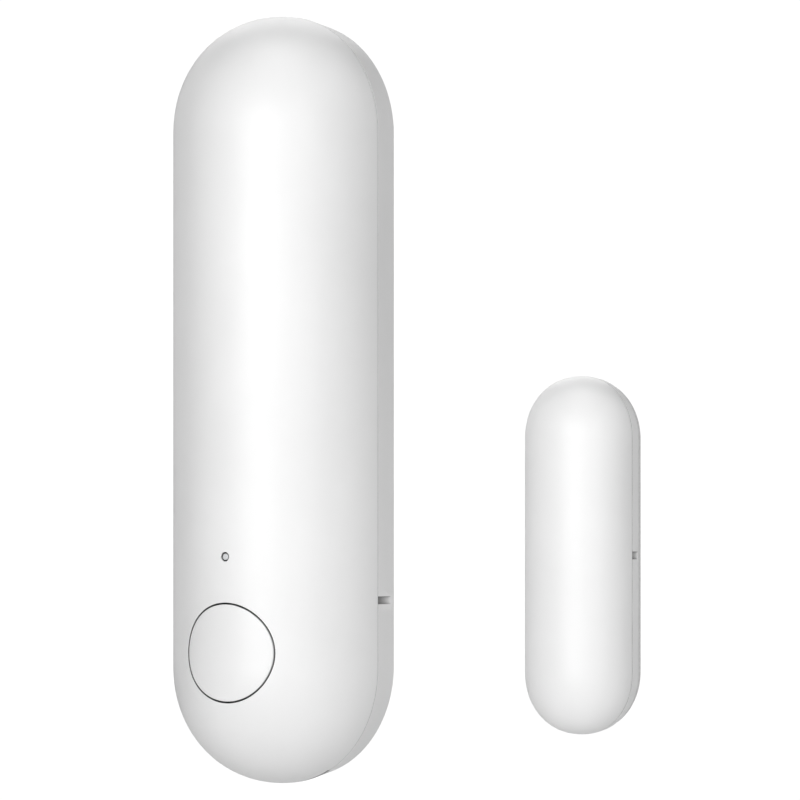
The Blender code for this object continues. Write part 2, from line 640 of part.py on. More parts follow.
def cell_holder():
    """Moulded cradle: low side walls shaped to the cell, and an end wall behind each contact."""
    back = BOARD_FRONT + TOUCH_GAP
    half = HOLDER_HALF_WIDTH
    holder = box(
        "battery_holder", (-half, back, HOLDER_BOTTOM), (half, HOLDER_FRONT, HOLDER_TOP), "black_plastic",
        bevel=0.3 * MM,
    )
    end_half = HOLDER_END_HALF_WIDTH
    for name, low, high in (
        ("upper", HOLDER_TOP - HOLDER_WALL, HOLDER_TOP - TOUCH_GAP),
        ("lower", HOLDER_BOTTOM + TOUCH_GAP, HOLDER_BOTTOM + HOLDER_WALL),
    ):
        corner_low = (-end_half, back + MM, low)
        join(holder, box(f"holder_end_{name}", corner_low, (end_half, HOLDER_END_FRONT, high)))
    inner_low, inner_high = HOLDER_BOTTOM + HOLDER_WALL, HOLDER_TOP - HOLDER_WALL
    bm = bmesh.new()
    radius = CELL_RADIUS + SLIP
    bmesh.ops.create_cone(
        bm, cap_ends=True, segments=ROUND_STEPS, radius1=radius, radius2=radius,
        depth=inner_high - inner_low,
        matrix=Matrix.Translation((0.0, -CELL_DEPTH, (inner_high + inner_low) / 2)),
    )
    cut(holder, object_from(bm, "cell_space"))
    slot_half = CONTACT_HALF_WIDTH + SLIP
    room = CONTACT_THICKNESS + 3 * TOUCH_GAP
    for name, low, high in (
        ("upper", inner_high - room, inner_high),
        ("lower", inner_low, inner_low + room),
    ):
        cut(holder, box(f"contact_slot_{name}", (-slot_half, 0.0, low), (slot_half, 2 * MAIN.dome, high)))


def cell_contacts():
    back = BOARD_FRONT + TOUCH_GAP
    half = CONTACT_HALF_WIDTH
    front = CONTACT_FRONT
    top = HOLDER_TOP - HOLDER_WALL - TOUCH_GAP
    low = top - CONTACT_THICKNESS
    positive = box("battery_positive_contact", (-half, back, low), (half, front, top), "spring_steel")
    bm = bmesh.new()
    tip = CELL_TOP + TOUCH_GAP
    bmesh.ops.create_cone(
        bm, cap_ends=True, segments=SMALL_STEPS, radius1=DIMPLE_TIP_RADIUS, radius2=DIMPLE_ROOT_RADIUS,
        depth=top - tip,
        matrix=Matrix.Translation((0.0, -CELL_DEPTH, (top + tip) / 2)),
    )
    join(positive, object_from(bm, "positive_dimple"))
    bottom = HOLDER_BOTTOM + HOLDER_WALL + TOUCH_GAP
    high = bottom + CONTACT_THICKNESS
    box("battery_negative_contact", (-half, back, bottom), (half, front, high), "spring_steel")
    spring(high + TOUCH_GAP + SPRING_WIRE_RADIUS, CELL_TOP - CELL_LENGTH - TOUCH_GAP - SPRING_WIRE_RADIUS)


def spring(low, high):
    """Conical compression spring between the negative contact and the cell."""
    per_turn = 12
    count = round(SPRING_TURNS * per_turn)
    points = []
    for i in range(count + 1):
        share = i / count
        angle = 2 * math.pi * SPRING_TURNS * share
        radius = SPRING_WIDE_RADIUS + (SPRING_NARROW_RADIUS - SPRING_WIDE_RADIUS) * share
        x = radius * math.cos(angle)
        y = -CELL_DEPTH + radius * math.sin(angle)
        points.append((x, y, low + (high - low) * share))
    object_from(wire_mesh(points, SPRING_WIRE_RADIUS), "battery_negative_spring", "spring_steel", None, 60.0)


def reed_switch():
    """Glass tube with two overlapping blades; its wires turn back to the board."""
    depth = BOARD_FRONT + TOUCH_GAP + REED_RADIUS
    foot = BOARD_FRONT + TOUCH_GAP
    half = REED_LENGTH / 2
    neck = REED_WIRE_RADIUS + TOUCH_GAP
    bore = REED_BORE_SHARE * REED_RADIUS
    shoulder = half - REED_NECK_LENGTH
    taper, rounding = shoulder + REED_NECK_LENGTH / 5, half - REED_END_ROUNDING
    end_radius = REED_RADIUS - REED_END_ROUNDING * 2 / 3
    profile = [
        (end_radius, half), (REED_RADIUS, rounding), (REED_RADIUS, -rounding), (end_radius, -half),
        (neck, -half), (neck, -taper), (bore, -shoulder), (bore, shoulder), (neck, taper), (neck, half),
    ]
    turned("reed_glass", profile, REED_X, depth, MAIN_MARK_Z, False, SMALL_STEPS, "glass")
    for name, sign in (("upper", 1), ("lower", -1)):
        start = MAIN_MARK_Z + sign * (half - REED_FLAT_START)
        bend = MAIN_MARK_Z + sign * (half + REED_WIRE_OUT)
        points = [(REED_X, -depth, start), (REED_X, -depth, bend - sign * REED_BEND)]
        for angle in (18.0, 36.0, 54.0, 72.0):
            turn = math.radians(angle)
            z = bend - sign * REED_BEND * (1 - math.sin(turn))
            points.append((REED_X, -depth + REED_BEND * (1 - math.cos(turn)), z))
        points += [(REED_X, -depth + REED_BEND, bend), (REED_X, -foot, bend)]
        wire = wire_mesh(points, REED_WIRE_RADIUS)
        lead = object_from(wire, f"reed_blade_{name}", "nickel", None, 60.0)
        tip = MAIN_MARK_Z - sign * REED_OVERLAP / 2
        root = start + sign * REED_FLAT_ROOT
        middle = depth + sign * REED_FLAT_OFFSET
        low = (REED_X - REED_FLAT_HALF_WIDTH, middle - REED_FLAT_HALF_THICKNESS, min(tip, root))
        high = (REED_X + REED_FLAT_HALF_WIDTH, middle + REED_FLAT_HALF_THICKNESS, max(tip, root))
        join(lead, box(f"reed_flat_{name}", low, high))


def chips():
    finish = {
        "status_led": "led_body", "crystal_oscillator": "steel", "power_converter_chip": "black_plastic",
        "boost_inductor": "ferrite", "storage_capacitor": "tantalum",
        "filter_capacitor_upper": "capacitor", "filter_capacitor_lower": "capacitor",
    }
    back = BOARD_FRONT + TOUCH_GAP
    for name, (x, z, width, height, thickness) in CHIPS.items():
        low = (x - width / 2, back, z - height / 2)
        high = (x + width / 2, back + thickness, z + height / 2)
        box(name, low, high, finish[name], None, 0.12 * MM)


def radio_module():
    back = BOARD_FRONT + TOUCH_GAP
    front = back + RADIO_BOARD
    low_z, high_z = RADIO_Z - RADIO_HEIGHT / 2, RADIO_Z + RADIO_HEIGHT / 2
    left, right = RADIO_X - RADIO_WIDTH / 2, RADIO_X + RADIO_WIDTH / 2
    box("radio_module_board", (left, back, low_z), (right, front, high_z), "board")
    can_back = front + TOUCH_GAP
    can_top = high_z - 0.4 * MM
    can_low = can_top - SHIELD_HEIGHT
    half = SHIELD_WIDTH / 2
    can = box(
        "radio_shield_can", (RADIO_X - half, can_back, can_low),
        (RADIO_X + half, can_back + SHIELD_THICKNESS, can_top), "steel",
    )
    sheet = SHIELD_SHEET
    hollow_low = (RADIO_X - half + sheet, can_back - MM, can_low + sheet)
    hollow_high = (RADIO_X + half - sheet, can_back + SHIELD_THICKNESS - sheet, can_top - sheet)
    cut(can, box("shield_hollow", hollow_low, hollow_high))
    width, height, thickness = ANTENNA_SIZE
    low = (RADIO_X - width / 2, can_back, low_z + 0.8 * MM)
    high = (RADIO_X + width / 2, can_back + thickness, low_z + 0.8 * MM + height)
    box("ceramic_antenna", low, high, "ceramic", None, 0.1 * MM)


def tact_switch(group):
    half = SWITCH_SIDE / 2
    back = BOARD_FRONT + TOUCH_GAP
    low, high = (-half, back, BUTTON_Z - half), (half, SWITCH_FRONT, BUTTON_Z + half)
    body = box("tact_switch_body", low, high, "black_plastic", None, 0.25 * MM)
    well = PLUNGER_RADIUS + SLIP
    cut(body, rod("switch_well", well, SWITCH_WELL_FLOOR, SWITCH_FRONT + MM, 0.0, BUTTON_Z))
    plate_back = SWITCH_FRONT + TOUCH_GAP
    inset = 0.3 * MM
    cover = box(
        "tact_switch_plate", (-half + inset, plate_back, BUTTON_Z - half + inset),
        (half - inset, plate_back + SWITCH_PLATE, BUTTON_Z + half - inset), "steel",
    )
    cut(cover, rod("plate_hole", well, SWITCH_FRONT - MM, PLUNGER_FRONT, 0.0, BUTTON_Z))
    rounding = 0.2 * MM
    profile = [
        (0.0, PLUNGER_FRONT), (PLUNGER_RADIUS - rounding, PLUNGER_FRONT),
        (PLUNGER_RADIUS, PLUNGER_FRONT - rounding), (PLUNGER_RADIUS, PLUNGER_BACK), (0.0, PLUNGER_BACK),
    ]
    turned("tact_switch_plunger", profile, 0.0, 0.0, BUTTON_Z, True, SMALL_STEPS, "switch_plunger", group)


# ---------------------------------------------------------------- magnet unit


def magnet_unit(group):
    adhesive_pad(MAGNET, group, MAGNET_PAD_INSET)
    base = base_tray(
        MAGNET, group, MAGNET_BASE_WALL, MAGNET_FLOOR, MAGNET_TONGUE_INSET, MAGNET_TONGUE_RISE
    )
    half_width, half_length = BAR_WIDTH / 2, BAR_LENGTH / 2
    grown = TOUCH_GAP + CRADLE_WALL
    floor = BACK_DEPTH + MAGNET_FLOOR
    join(base, box(
        "magnet_cradle", (-half_width - grown, floor - MM / 2, -half_length - grown),
        (half_width + grown, CRADLE_FRONT, half_length + grown), None, group,
    ))
    cut(base, box(
        "magnet_space", (-half_width - TOUCH_GAP, floor, -half_length - TOUCH_GAP),
        (half_width + TOUCH_GAP, 2 * CRADLE_FRONT, half_length + TOUCH_GAP), None, group,
    ))
    side_marks(base, MAGNET, group, 0.0, MAGNET_MARK_CUT)
    cover_shell(MAGNET, group, MAGNET_COVER_WALL)
    bar_front = BAR_BACK + BAR_THICKNESS
    box(
        "bar_magnet", (-half_width, BAR_BACK, -half_length), (half_width, bar_front, half_length),
        "ferrite", group, 0.25 * MM,
    )
    box(
        "magnet_foam_strip", (-FOAM_WIDTH / 2, bar_front + TOUCH_GAP, -FOAM_LENGTH / 2),
        (FOAM_WIDTH / 2, FOAM_FRONT, FOAM_LENGTH / 2), "foam", group,
    )


# ---------------------------------------------------------------- assembly

adhesive_pad(MAIN, None, MAIN_PAD_INSET)
main_base()
circuit_board()
board_screws()
cell_holder()
cell_contacts()
reed_switch()
chips()
radio_module()
tact_switch(make_group("switch_plunger_slide"))
cell(make_group("cell_slide"))
front_cover_slide = make_group("front_cover_slide")
main_front_cover(front_cover_slide)
light_pipe(front_cover_slide)
pair_button(make_group("pair_button_slide"))
magnet_unit(make_group("magnet_unit_slide", MAGNET.centre_x, MAGNET.centre_z))
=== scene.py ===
"""Looks of the door contact sensor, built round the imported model.

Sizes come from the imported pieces' boxes. Depths count forward from the wall, so a depth d lies at
y = -d; x and z of a housing's points count from that housing's centre.
"""
import math

import bmesh
import bpy
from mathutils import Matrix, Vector, geometry


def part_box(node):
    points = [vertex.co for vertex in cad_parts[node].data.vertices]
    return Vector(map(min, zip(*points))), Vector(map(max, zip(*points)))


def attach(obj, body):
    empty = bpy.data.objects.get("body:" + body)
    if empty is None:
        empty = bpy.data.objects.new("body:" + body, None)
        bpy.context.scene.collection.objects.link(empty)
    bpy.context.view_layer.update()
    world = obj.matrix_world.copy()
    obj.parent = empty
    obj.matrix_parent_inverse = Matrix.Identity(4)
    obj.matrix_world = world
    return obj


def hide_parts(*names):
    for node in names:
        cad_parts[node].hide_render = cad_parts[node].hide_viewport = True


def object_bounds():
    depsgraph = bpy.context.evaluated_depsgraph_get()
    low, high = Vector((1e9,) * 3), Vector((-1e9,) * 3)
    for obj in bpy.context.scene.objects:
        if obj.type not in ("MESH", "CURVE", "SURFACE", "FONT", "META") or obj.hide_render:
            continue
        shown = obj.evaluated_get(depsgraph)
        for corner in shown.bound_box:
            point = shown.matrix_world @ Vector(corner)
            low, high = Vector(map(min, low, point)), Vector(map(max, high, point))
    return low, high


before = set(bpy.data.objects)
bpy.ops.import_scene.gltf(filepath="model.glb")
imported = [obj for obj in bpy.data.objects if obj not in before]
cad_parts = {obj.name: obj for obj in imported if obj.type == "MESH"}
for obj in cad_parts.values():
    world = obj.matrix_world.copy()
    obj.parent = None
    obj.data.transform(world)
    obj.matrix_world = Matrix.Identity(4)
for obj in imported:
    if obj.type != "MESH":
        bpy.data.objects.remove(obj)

CAD_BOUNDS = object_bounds()
MM = 0.001

# Form of both housings
BACK_SOFTNESS = 2.0
SEAM_GAP = 0.2 * MM
VISIBLE_GAP = 0.06 * MM
EDGE = 0.03 * MM
SKIN_DROP = 0.12 * MM
SKIN_STEP = 0.9 * MM
SKIN_MARGIN = 0.45 * MM
HOLE_RINGS = (1.04, 1.1, 1.2)
HOLE_MARGIN = 0.36 * MM

# Side marks and pry slot
MARK_HEIGHT = 0.85 * MM
MARK_REACH_SHARE = 0.8
MARK_LIP = 0.02 * MM
MAIN_MARK_CUT = 1.6 * MM
MAGNET_MARK_CUT = 1.3 * MM
PRY_SLOT_HALF_LENGTH = 5.7 * MM
PRY_SLOT_CUT = 1.1 * MM
PRY_SLOT_BEHIND = 0.25 * MM
PRY_SLOT_BEFORE = 0.35 * MM

# Shell sections, as in the solids
MAIN_SECTION = dict(
    run=12.84 * MM, softness=2.07, wall=1.2 * MM, tray=2.0 * MM, floor=1.4 * MM, tongue=1.4 * MM,
    rise=1.3 * MM, draft=0.67 * MM, back=0.2 * MM,
)
MAGNET_SECTION = dict(
    run=6.82 * MM, softness=2.1, wall=1.0 * MM, tray=1.6 * MM, floor=1.0 * MM, tongue=1.15 * MM,
    rise=0.8 * MM, draft=0.15 * MM, back=0.2 * MM,
)

# Reach of the painted shade: within it, neighbouring surfaces darken the colour of a crevice
PAINTED_SHADE_REACH = 1.5 * MM

# Camera
CAMERA_AZIMUTH = 29.6
CAMERA_DISTANCE = 2.2
FRAME_WIDTH = 87.62 * MM
AIM = Vector((11.85 * MM, -0.95 * MM, 0.0))

# Stage and light
FLOOR_RADIUS = 0.9
FLOOR_FADE_START = 0.1
FLOOR_DROP = 0.04
LIGHT_DISTANCE = 1.2
SOFTBOXES = (
    # name, azimuth and elevation in degrees, side in metres, watts
    ("key", 29.6, 5.0, 2.0, 5.1),
    ("key_left", 10.0, 5.0, 0.8, 10.1),
    ("key_right", 50.0, 5.0, 0.8, 3.55),
    ("overhead", 29.6, 80.0, 0.8, 4.1),
    ("top_right", 115.0, 42.0, 0.8, 1.25),
    ("back_right", 155.0, 5.0, 0.8, 1.9),
    ("back_left", 245.0, 15.0, 0.8, 2.1),
    ("top_back", 209.6, 36.0, 0.8, 4.8),
)
AMBIENT_LEVEL = 0.02
BACKDROP_LEVEL = 1.05

SHARP_ANGLE = math.radians(35.0)


# ---- nodes and materials


def opaque(colour):
    return (*colour, 1.0)


class Nodes:
    """Short hand for building the node tree of a material or of the world."""

    def __init__(self, owner):
        owner.use_nodes = True
        self.owner = owner
        self.tree = owner.node_tree

    def feed(self, node, inputs):
        """Give a node's inputs numbers, colours or other nodes' outputs."""
        for key, value in inputs.items():
            if isinstance(value, bpy.types.NodeSocket):
                self.tree.links.new(value, node.inputs[key])
            else:
                node.inputs[key].default_value = value

    def add(self, kind, inputs=None, **settings):
        node = self.tree.nodes.new(f"ShaderNode{kind}")
        for key, value in settings.items():
            setattr(node, key, value)
        self.feed(node, inputs or {})
        return node

    def coordinates(self):
        return self.add("TexCoord").outputs["Object"]

    def noise(self, scale, detail=2.0, roughness=0.5, stretch=None):
        vector = self.coordinates()
        if stretch:
            vector = self.add("Mapping", {"Vector": vector, "Scale": stretch}).outputs["Vector"]
        inputs = {"Vector": vector, "Scale": scale, "Detail": detail, "Roughness": roughness}
        return self.add("TexNoise", inputs).outputs["Fac"]

    def spread(self, value, low, high):
        """Map a texture's middle range to low..high."""
        inputs = {"Value": value, "From Min": 0.3, "From Max": 0.7, "To Min": low, "To Max": high}
        return self.add("MapRange", inputs).outputs["Result"]

    def two_tone(self, value, first, second):
        ramp = self.add("ValToRGB", {"Fac": value})
        for index, position, colour in ((0, 0.35, first), (1, 0.65, second)):
            element = ramp.color_ramp.elements[index]
            element.position, element.color = position, opaque(colour)
        return ramp.outputs["Color"]

    def mix(self, factor, first, second, **settings):
        inputs = {"Factor": factor, "A": first, "B": second}
        return self.add("Mix", inputs, data_type="RGBA", **settings).outputs["Result"]

    def multiply(self, first, second):
        return self.mix(1.0, first, second, blend_type="MULTIPLY")

    def separate(self, vector):
        return self.add("SeparateXYZ", {"Vector": vector}).outputs

    def math(self, operation, *values):
        return self.add("Math", dict(enumerate(values)), operation=operation).outputs["Value"]

    def finish(self, colour, roughness, relief=None, depth=0.0, **values):
        """Feed the shader, with relief of a depth in mm, and hand over the material."""
        inputs = {"Base Color": colour, "Roughness": roughness}
        if relief:
            bump = {"Height": relief, "Distance": depth * MM, "Strength": 1.0}
            inputs["Normal"] = self.add("Bump", bump).outputs["Normal"]
        inputs.update((key.replace("_", " "), value) for key, value in values.items())
        self.feed(self.tree.nodes["Principled BSDF"], inputs)
        return self.owner


def new_material(name):
    return Nodes(bpy.data.materials.new(name))


def moulded_plastic(name, light, dark, roughness, grain=0.12, depth=0.004, painted_shade_share=None):
    """Satin moulding: a fine eroded grain and faint tone clouds. Sizes in mm.

    Painted shade: the colour darkens in crevices, seams and recesses where less than the given share of the
    space round a point is open.
    """
    n = new_material(name)
    tone = n.two_tone(n.noise(90.0, 3.0), dark, light)
    if painted_shade_share:
        # painted shade: ambient occlusion darkens the base colour in crevices, gaps and recesses
        openness = n.add("AmbientOcclusion", {"Distance": PAINTED_SHADE_REACH}, samples=16).outputs["AO"]
        painted_shade = n.add("MapRange", {"Value": openness, "From Max": painted_shade_share}).outputs["Result"]
        tone = n.multiply(tone, painted_shade)
    rough = n.spread(n.noise(700.0, 3.0), roughness - 0.03, roughness + 0.03)
    return n.finish(tone, rough, n.noise(1.0 / (grain * MM), 2.0), depth, IOR=1.5)


# ---- housings as formulas


class Housing:
    """One unit's outline and dome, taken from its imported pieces."""

    def __init__(self, cover, base, section):
        low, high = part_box(cover)
        self.centre = Vector(((low.x + high.x) / 2, 0.0, (low.z + high.z) / 2))
        self.half_width = (high.x - low.x) / 2
        self.half_length = (high.z - low.z) / 2
        self.run = section["run"]
        self.softness = section["softness"]
        self.straight = self.half_length - self.run
        tray_low, tray_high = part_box(base)
        self.back = -tray_high.y
        self.seam = -tray_low.y - section["rise"]
        self.rim = self.seam + SEAM_GAP
        self.dome = -low.y - self.rim
        self.section = section

    def outline(self, inset, softness=None, per_end=28, along=1.5 * MM):
        """Closed outline (x, z), inset evenly, going round from the right side over the top."""
        width, run = self.half_width - inset, self.run - inset
        turns = [math.pi / 2 * i / per_end for i in range(per_end + 1)]
        power = 2 / (softness or self.softness)
        quarter = [
            (width * math.cos(t) ** power, self.straight + run * math.sin(t) ** power) for t in turns
        ]
        count = max(2, round(2 * self.straight / along))
        side = [(width, self.straight * (2 * i / count - 1)) for i in range(1, count)]
        upper = quarter + [(-x, z) for x, z in reversed(quarter[:-1])]
        half = side + upper
        return half + [(-x, -z) for x, z in half]

    def depth(self, x, z, inset=0.0):
        """Depth of the skin, inset evenly, over a point of the outline plane."""
        width, run = self.half_width - inset, self.run - inset
        beyond = max(0.0, abs(z) - self.straight) / run
        share = max(0.0, 1.0 - beyond ** self.softness) ** (2 / self.softness)
        return self.rim + (self.dome - inset) * math.sqrt(max(0.0, share - (x / width) ** 2))

    def norm(self, x, z, inset=0.0):
        """1 on the inset outline and 0 on the spine."""
        along = max(0.0, abs(z) - self.straight) / (self.run - inset)
        across = abs(x) / (self.half_width - inset)
        return (across ** self.softness + along ** self.softness) ** (1 / self.softness)

    def stretch(self, x, z, factor):
        """Scale a point's distance from the spine."""
        inner = min(abs(z), self.straight)
        return x * factor, math.copysign(inner + (abs(z) - inner) * factor, z)

    def unroll(self, x, z, inset=0.0):
        """Outline plane to the flattened skin, where distances are near the real ones."""
        norm = self.norm(x, z, inset)
        return self.stretch(x, z, math.asin(min(1.0, norm)) / norm if norm > 1e-9 else 1.0)

    def roll(self, p, q, inset=0.0):
        """Flattened skin back to the outline plane."""
        turn = min(self.norm(p, q, inset), math.pi / 2)
        return self.stretch(p, q, math.sin(turn) / turn if turn > 1e-9 else 1.0)

    def place(self, x, z, depth):
        return self.centre + Vector((x, -depth, z))


def circle(radius, x, z, count):
    return [
        (x + radius * math.cos(2 * math.pi * i / count), z + radius * math.sin(2 * math.pi * i / count))
        for i in range(count)
    ]


def skin(bm, housing, inset, edge_drop, holes):
    """Triangulated dome skin with round holes. Returns its rim loop and each hole's loop of vertices.

    The rim loop lies edge_drop in front of the rim's plane. Holes are (x, z, radius, count).
    """
    limit = math.acos(edge_drop / (housing.dome - inset))
    width, length = housing.half_width - inset, housing.run - inset
    width, length = limit * width, housing.straight + limit * length
    border = [
        housing.stretch(x, z, limit / housing.norm(x, z, inset)) for x, z in housing.outline(inset)
    ]
    flat, edges = list(border), [(i, (i + 1) % len(border)) for i in range(len(border))]
    loops = []
    for x, z, radius, count in holes:
        start = len(flat)
        flat += [housing.unroll(a, b, inset) for a, b in circle(radius, x, z, count)]
        edges += [(start + i, start + (i + 1) % count) for i in range(count)]
        loops.append(range(start, start + count))
        for share in HOLE_RINGS:
            flat += [housing.unroll(a, b, inset) for a, b in circle(radius * share, x, z, count)]
    columns, rows = math.ceil(width / SKIN_STEP), math.ceil(length / SKIN_STEP)
    inner = limit * (1 - SKIN_MARGIN / width)
    for i in range(-columns, columns + 1):
        for j in range(-rows, rows + 1):
            p, q = i * width / columns, j * length / rows
            x, z = housing.roll(p, q, inset)
            clear = all(
                math.hypot(x - a, z - b) > HOLE_RINGS[-1] * radius + HOLE_MARGIN
                for a, b, radius, _ in holes
            )
            if clear and housing.norm(p, q, inset) < inner:
                flat.append((p, q))
    result = geometry.delaunay_2d_cdt([Vector(v) for v in flat], edges, [], 1, 1e-9)
    coordinates, faces, origins = result[0], result[2], result[3]
    made = [None] * len(coordinates)
    where = {}
    for index, (co, origin) in enumerate(zip(coordinates, origins)):
        x, z = housing.roll(co[0], co[1], inset)
        made[index] = bm.verts.new(housing.place(x, z, housing.depth(x, z, inset)))
        for source in origin:
            where[source] = made[index]
    for face in faces:
        middle = [sum(coordinates[i][k] for i in face) / 3 for k in (0, 1)]
        x, z = housing.roll(middle[0], middle[1], inset)
        if all(math.hypot(x - a, z - b) > radius for a, b, radius, _ in holes):
            bm.faces.new([made[i] for i in face])
    rim = [where[i] for i in range(len(border))]
    return rim, [[where[i] for i in loop] for loop in loops]


def new_ring(bm, housing, points):
    return [bm.verts.new(housing.place(x, z, depth)) for x, z, depth in points]


def level_ring(bm, housing, line, depth):
    return new_ring(bm, housing, [(x, z, depth) for x, z in line])


def skin_ring(bm, housing, line, inset=0.0, drop=0.0):
    return new_ring(bm, housing, [(x, z, housing.depth(x, z, inset) - drop) for x, z in line])


def bridge(bm, first, second):
    for i in range(len(first)):
        j = (i + 1) % len(first)
        bm.faces.new((first[i], first[j], second[j], second[i]))


def bridge_all(bm, rings):
    for first, second in zip(rings, rings[1:]):
        bridge(bm, first, second)


def close_over(bm, rings):
    """Closed solid through rings, with a flat face over the first and the last."""
    bridge_all(bm, rings)
    bm.faces.new(rings[0])
    bm.faces.new(rings[-1])


def round_steps(edge, count=3, start=0):
    """Steps round a quarter turn: (from one side, which grows, and from the other, which shrinks)."""
    turns = [math.pi / 2 * i / count for i in range(start, count + 1)]
    return [(edge * (1 - math.cos(t)), edge * (1 - math.sin(t))) for t in turns]


def loose_object(bm, name="cutter"):
    """Object from a bmesh, such as a cutter, which rides on nothing."""
    bmesh.ops.recalc_face_normals(bm, faces=bm.faces)
    mesh = bpy.data.meshes.new(name)
    bm.to_mesh(mesh)
    bm.free()
    made = bpy.data.objects.new(name, mesh)
    bpy.context.scene.collection.objects.link(made)
    return made


def smooth(mesh):
    mesh.shade_smooth()
    mesh.set_sharp_from_angle(angle=SHARP_ANGLE)


def piece_from(bm, name, material, body, node=None):
    """Finish a bmesh as a piece that rides on a body, and stands for a node of the solids."""
    piece = loose_object(bm, name)
    smooth(piece.data)
    piece.data.materials.append(material)
    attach(piece, body)
    if node:
        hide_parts(node)
    return piece


# ---- covers and trays


def cover(housing, name, node, body, material, holes=()):
    """Domed shell with a rounded rim and rounded holes.

    Holes are (x, z, radius, rounding, count, collar), a collar being (outer radius, inset of its end).
    """
    bm = bmesh.new()
    wall, lip = housing.section["wall"], housing.seam + VISIBLE_GAP
    fronts = [(x, z, radius + edge, count) for x, z, radius, edge, count, _ in holes]
    backs = [(x, z, collar[0] if collar else radius, count) for x, z, radius, _, count, collar in holes]
    outer, outer_holes = skin(bm, housing, 0.0, SKIN_DROP, fronts)
    inner, inner_holes = skin(bm, housing, wall, SKIN_DROP / 4, backs)
    rings = [outer]
    for inset, rise in round_steps(EDGE):
        rings.append(level_ring(bm, housing, housing.outline(inset), lip + rise))
    rings.append(level_ring(bm, housing, housing.outline(wall), lip))
    bridge_all(bm, rings + [inner])
    for (x, z, radius, edge, count, collar), outer_loop, inner_loop in zip(holes, outer_holes, inner_holes):
        rings = [outer_loop]
        for drop, wider in round_steps(edge, start=1):
            rings.append(skin_ring(bm, housing, circle(radius + wider, x, z, count), drop=drop))
        if collar:
            wide, end = collar
            for size in (radius, wide):
                rings.append(skin_ring(bm, housing, circle(size, x, z, count), end))
        bridge_all(bm, rings + [inner_loop])
    return piece_from(bm, name, material, body, node)


def tray_rings(housing):
    """Loops of points of a tray, from its back round the outside to its floor."""
    s, seam = housing.section, housing.seam
    back, draft, chamfer = housing.back, s["draft"], 0.15 * MM

    def loop(inset, depth, softness=None):
        return [(x, z, depth) for x, z in housing.outline(inset, softness)]

    rounded = [
        loop(draft + inset, back + rise, BACK_SOFTNESS) for rise, inset in round_steps(s["back"], 4)
    ]
    front = [loop(inset, seam - drop) for inset, drop in round_steps(EDGE)]
    wall = []
    for share in (0.03, 0.97):
        pairs = zip(rounded[-1], front[0])
        wall.append([tuple(a + (b - a) * share for a, b in zip(first, second)) for first, second in pairs])
    top = seam + s["rise"]
    inside = (
        (s["tongue"], seam), (s["tongue"], top - chamfer), (s["tongue"] + chamfer, top),
        (s["tray"] - chamfer, top), (s["tray"], top - chamfer), (s["tray"], back + s["floor"]),
    )
    return rounded + wall + front + [loop(inset, depth) for inset, depth in inside]


def box_between(low, high):
    """New bmesh with a box between two corners (x, depth, z)."""
    bm = bmesh.new()
    bmesh.ops.create_cube(bm, size=1.0)
    size = [abs(b - a) for a, b in zip(low, high)]
    middle = [(a + b) / 2 for a, b in zip(low, high)]
    bmesh.ops.scale(bm, vec=size, verts=bm.verts)
    bmesh.ops.translate(bm, vec=(middle[0], -middle[1], middle[2]), verts=bm.verts)
    return bm


def cutter(low, high):
    return loose_object(box_between(low, high))


def carve(piece, tools, operation="DIFFERENCE"):
    """Apply Boolean cuts or unions to a piece, then drop the tools."""
    for tool in tools:
        modifier = piece.modifiers.new("carve", "BOOLEAN")
        modifier.operation = operation
        modifier.object = tool
    bpy.context.view_layer.update()
    evaluated = piece.evaluated_get(bpy.context.evaluated_depsgraph_get())
    mesh = bpy.data.meshes.new_from_object(evaluated)
    piece.modifiers.clear()
    piece.data = mesh
    smooth(mesh)
    for tool in tools:
        bpy.data.objects.remove(tool, do_unlink=True)


def tray(housing, name, node, body, material):
    bm = bmesh.new()
    close_over(bm, [new_ring(bm, housing, points) for points in tray_rings(housing)])
    return piece_from(bm, name, material, body, node)


def prism(loops):
    """Cutter through two or more loops of points in the row frame."""
    bm = bmesh.new()
    close_over(bm, [[bm.verts.new(point) for point in loop] for loop in loops])
    return loose_object(bm)


def side_mark_cutters(housing, z, deep, steps=10):
    """Upright marks scooped into both sides, deepest at the seam."""
    seam = housing.seam
    reach = MARK_REACH_SHARE * (seam - housing.back)
    curve = [(deep, seam + SEAM_GAP)]
    for i in range(steps + 1):
        share = i / steps
        surface = housing.section["draft"] * MARK_REACH_SHARE * share
        curve.append((surface + MARK_LIP + (deep - MARK_LIP) * (1 - share), seam - reach * share))
    curve += [(-MM, seam - reach), (-MM, seam + SEAM_GAP)]
    tools = []
    levels = (z - MARK_HEIGHT / 2, z + MARK_HEIGHT / 2)
    for side in (1, -1):
        shape = [
            (housing.centre.x + side * (housing.half_width - inset), -depth) for inset, depth in curve
        ]
        tools.append(prism([[(x, y, level) for x, y in shape] for level in levels]))
    return tools


def pry_slot_cutter(steps=20):
    """Slot round the wall unit's lower end, across the seam."""
    width, run = MAIN.half_width - PRY_SLOT_CUT, MAIN.run - PRY_SLOT_CUT
    half, below = PRY_SLOT_HALF_LENGTH, -2 * MAIN.half_length
    band = [(half, below), (-half, below)]
    for i in range(steps + 1):
        x = half * (2 * i / steps - 1)
        share = (1 - (abs(x) / width) ** MAIN.softness) ** (1 / MAIN.softness)
        band.append((x, -MAIN.straight - run * share))
    depths = (MAIN.seam - PRY_SLOT_BEHIND, MAIN.seam + PRY_SLOT_BEFORE)
    return prism([[(x, -depth, z) for x, z in band] for depth in depths])


# ---- small solids, built into a bmesh


def merge(bm, other):
    """Add a finished bmesh to another."""
    mesh = bpy.data.meshes.new("part")
    other.to_mesh(mesh)
    other.free()
    bm.from_mesh(mesh)
    bpy.data.meshes.remove(mesh)


def add_block(bm, low, high, rounding=0.1 * MM, segments=2):
    """Box between two corners (x, depth, z) with rounded edges."""
    block = box_between(low, high)
    bmesh.ops.bevel(
        block, geom=block.edges[:], offset=rounding, segments=segments, profile=0.5, affect="EDGES"
    )
    merge(bm, block)


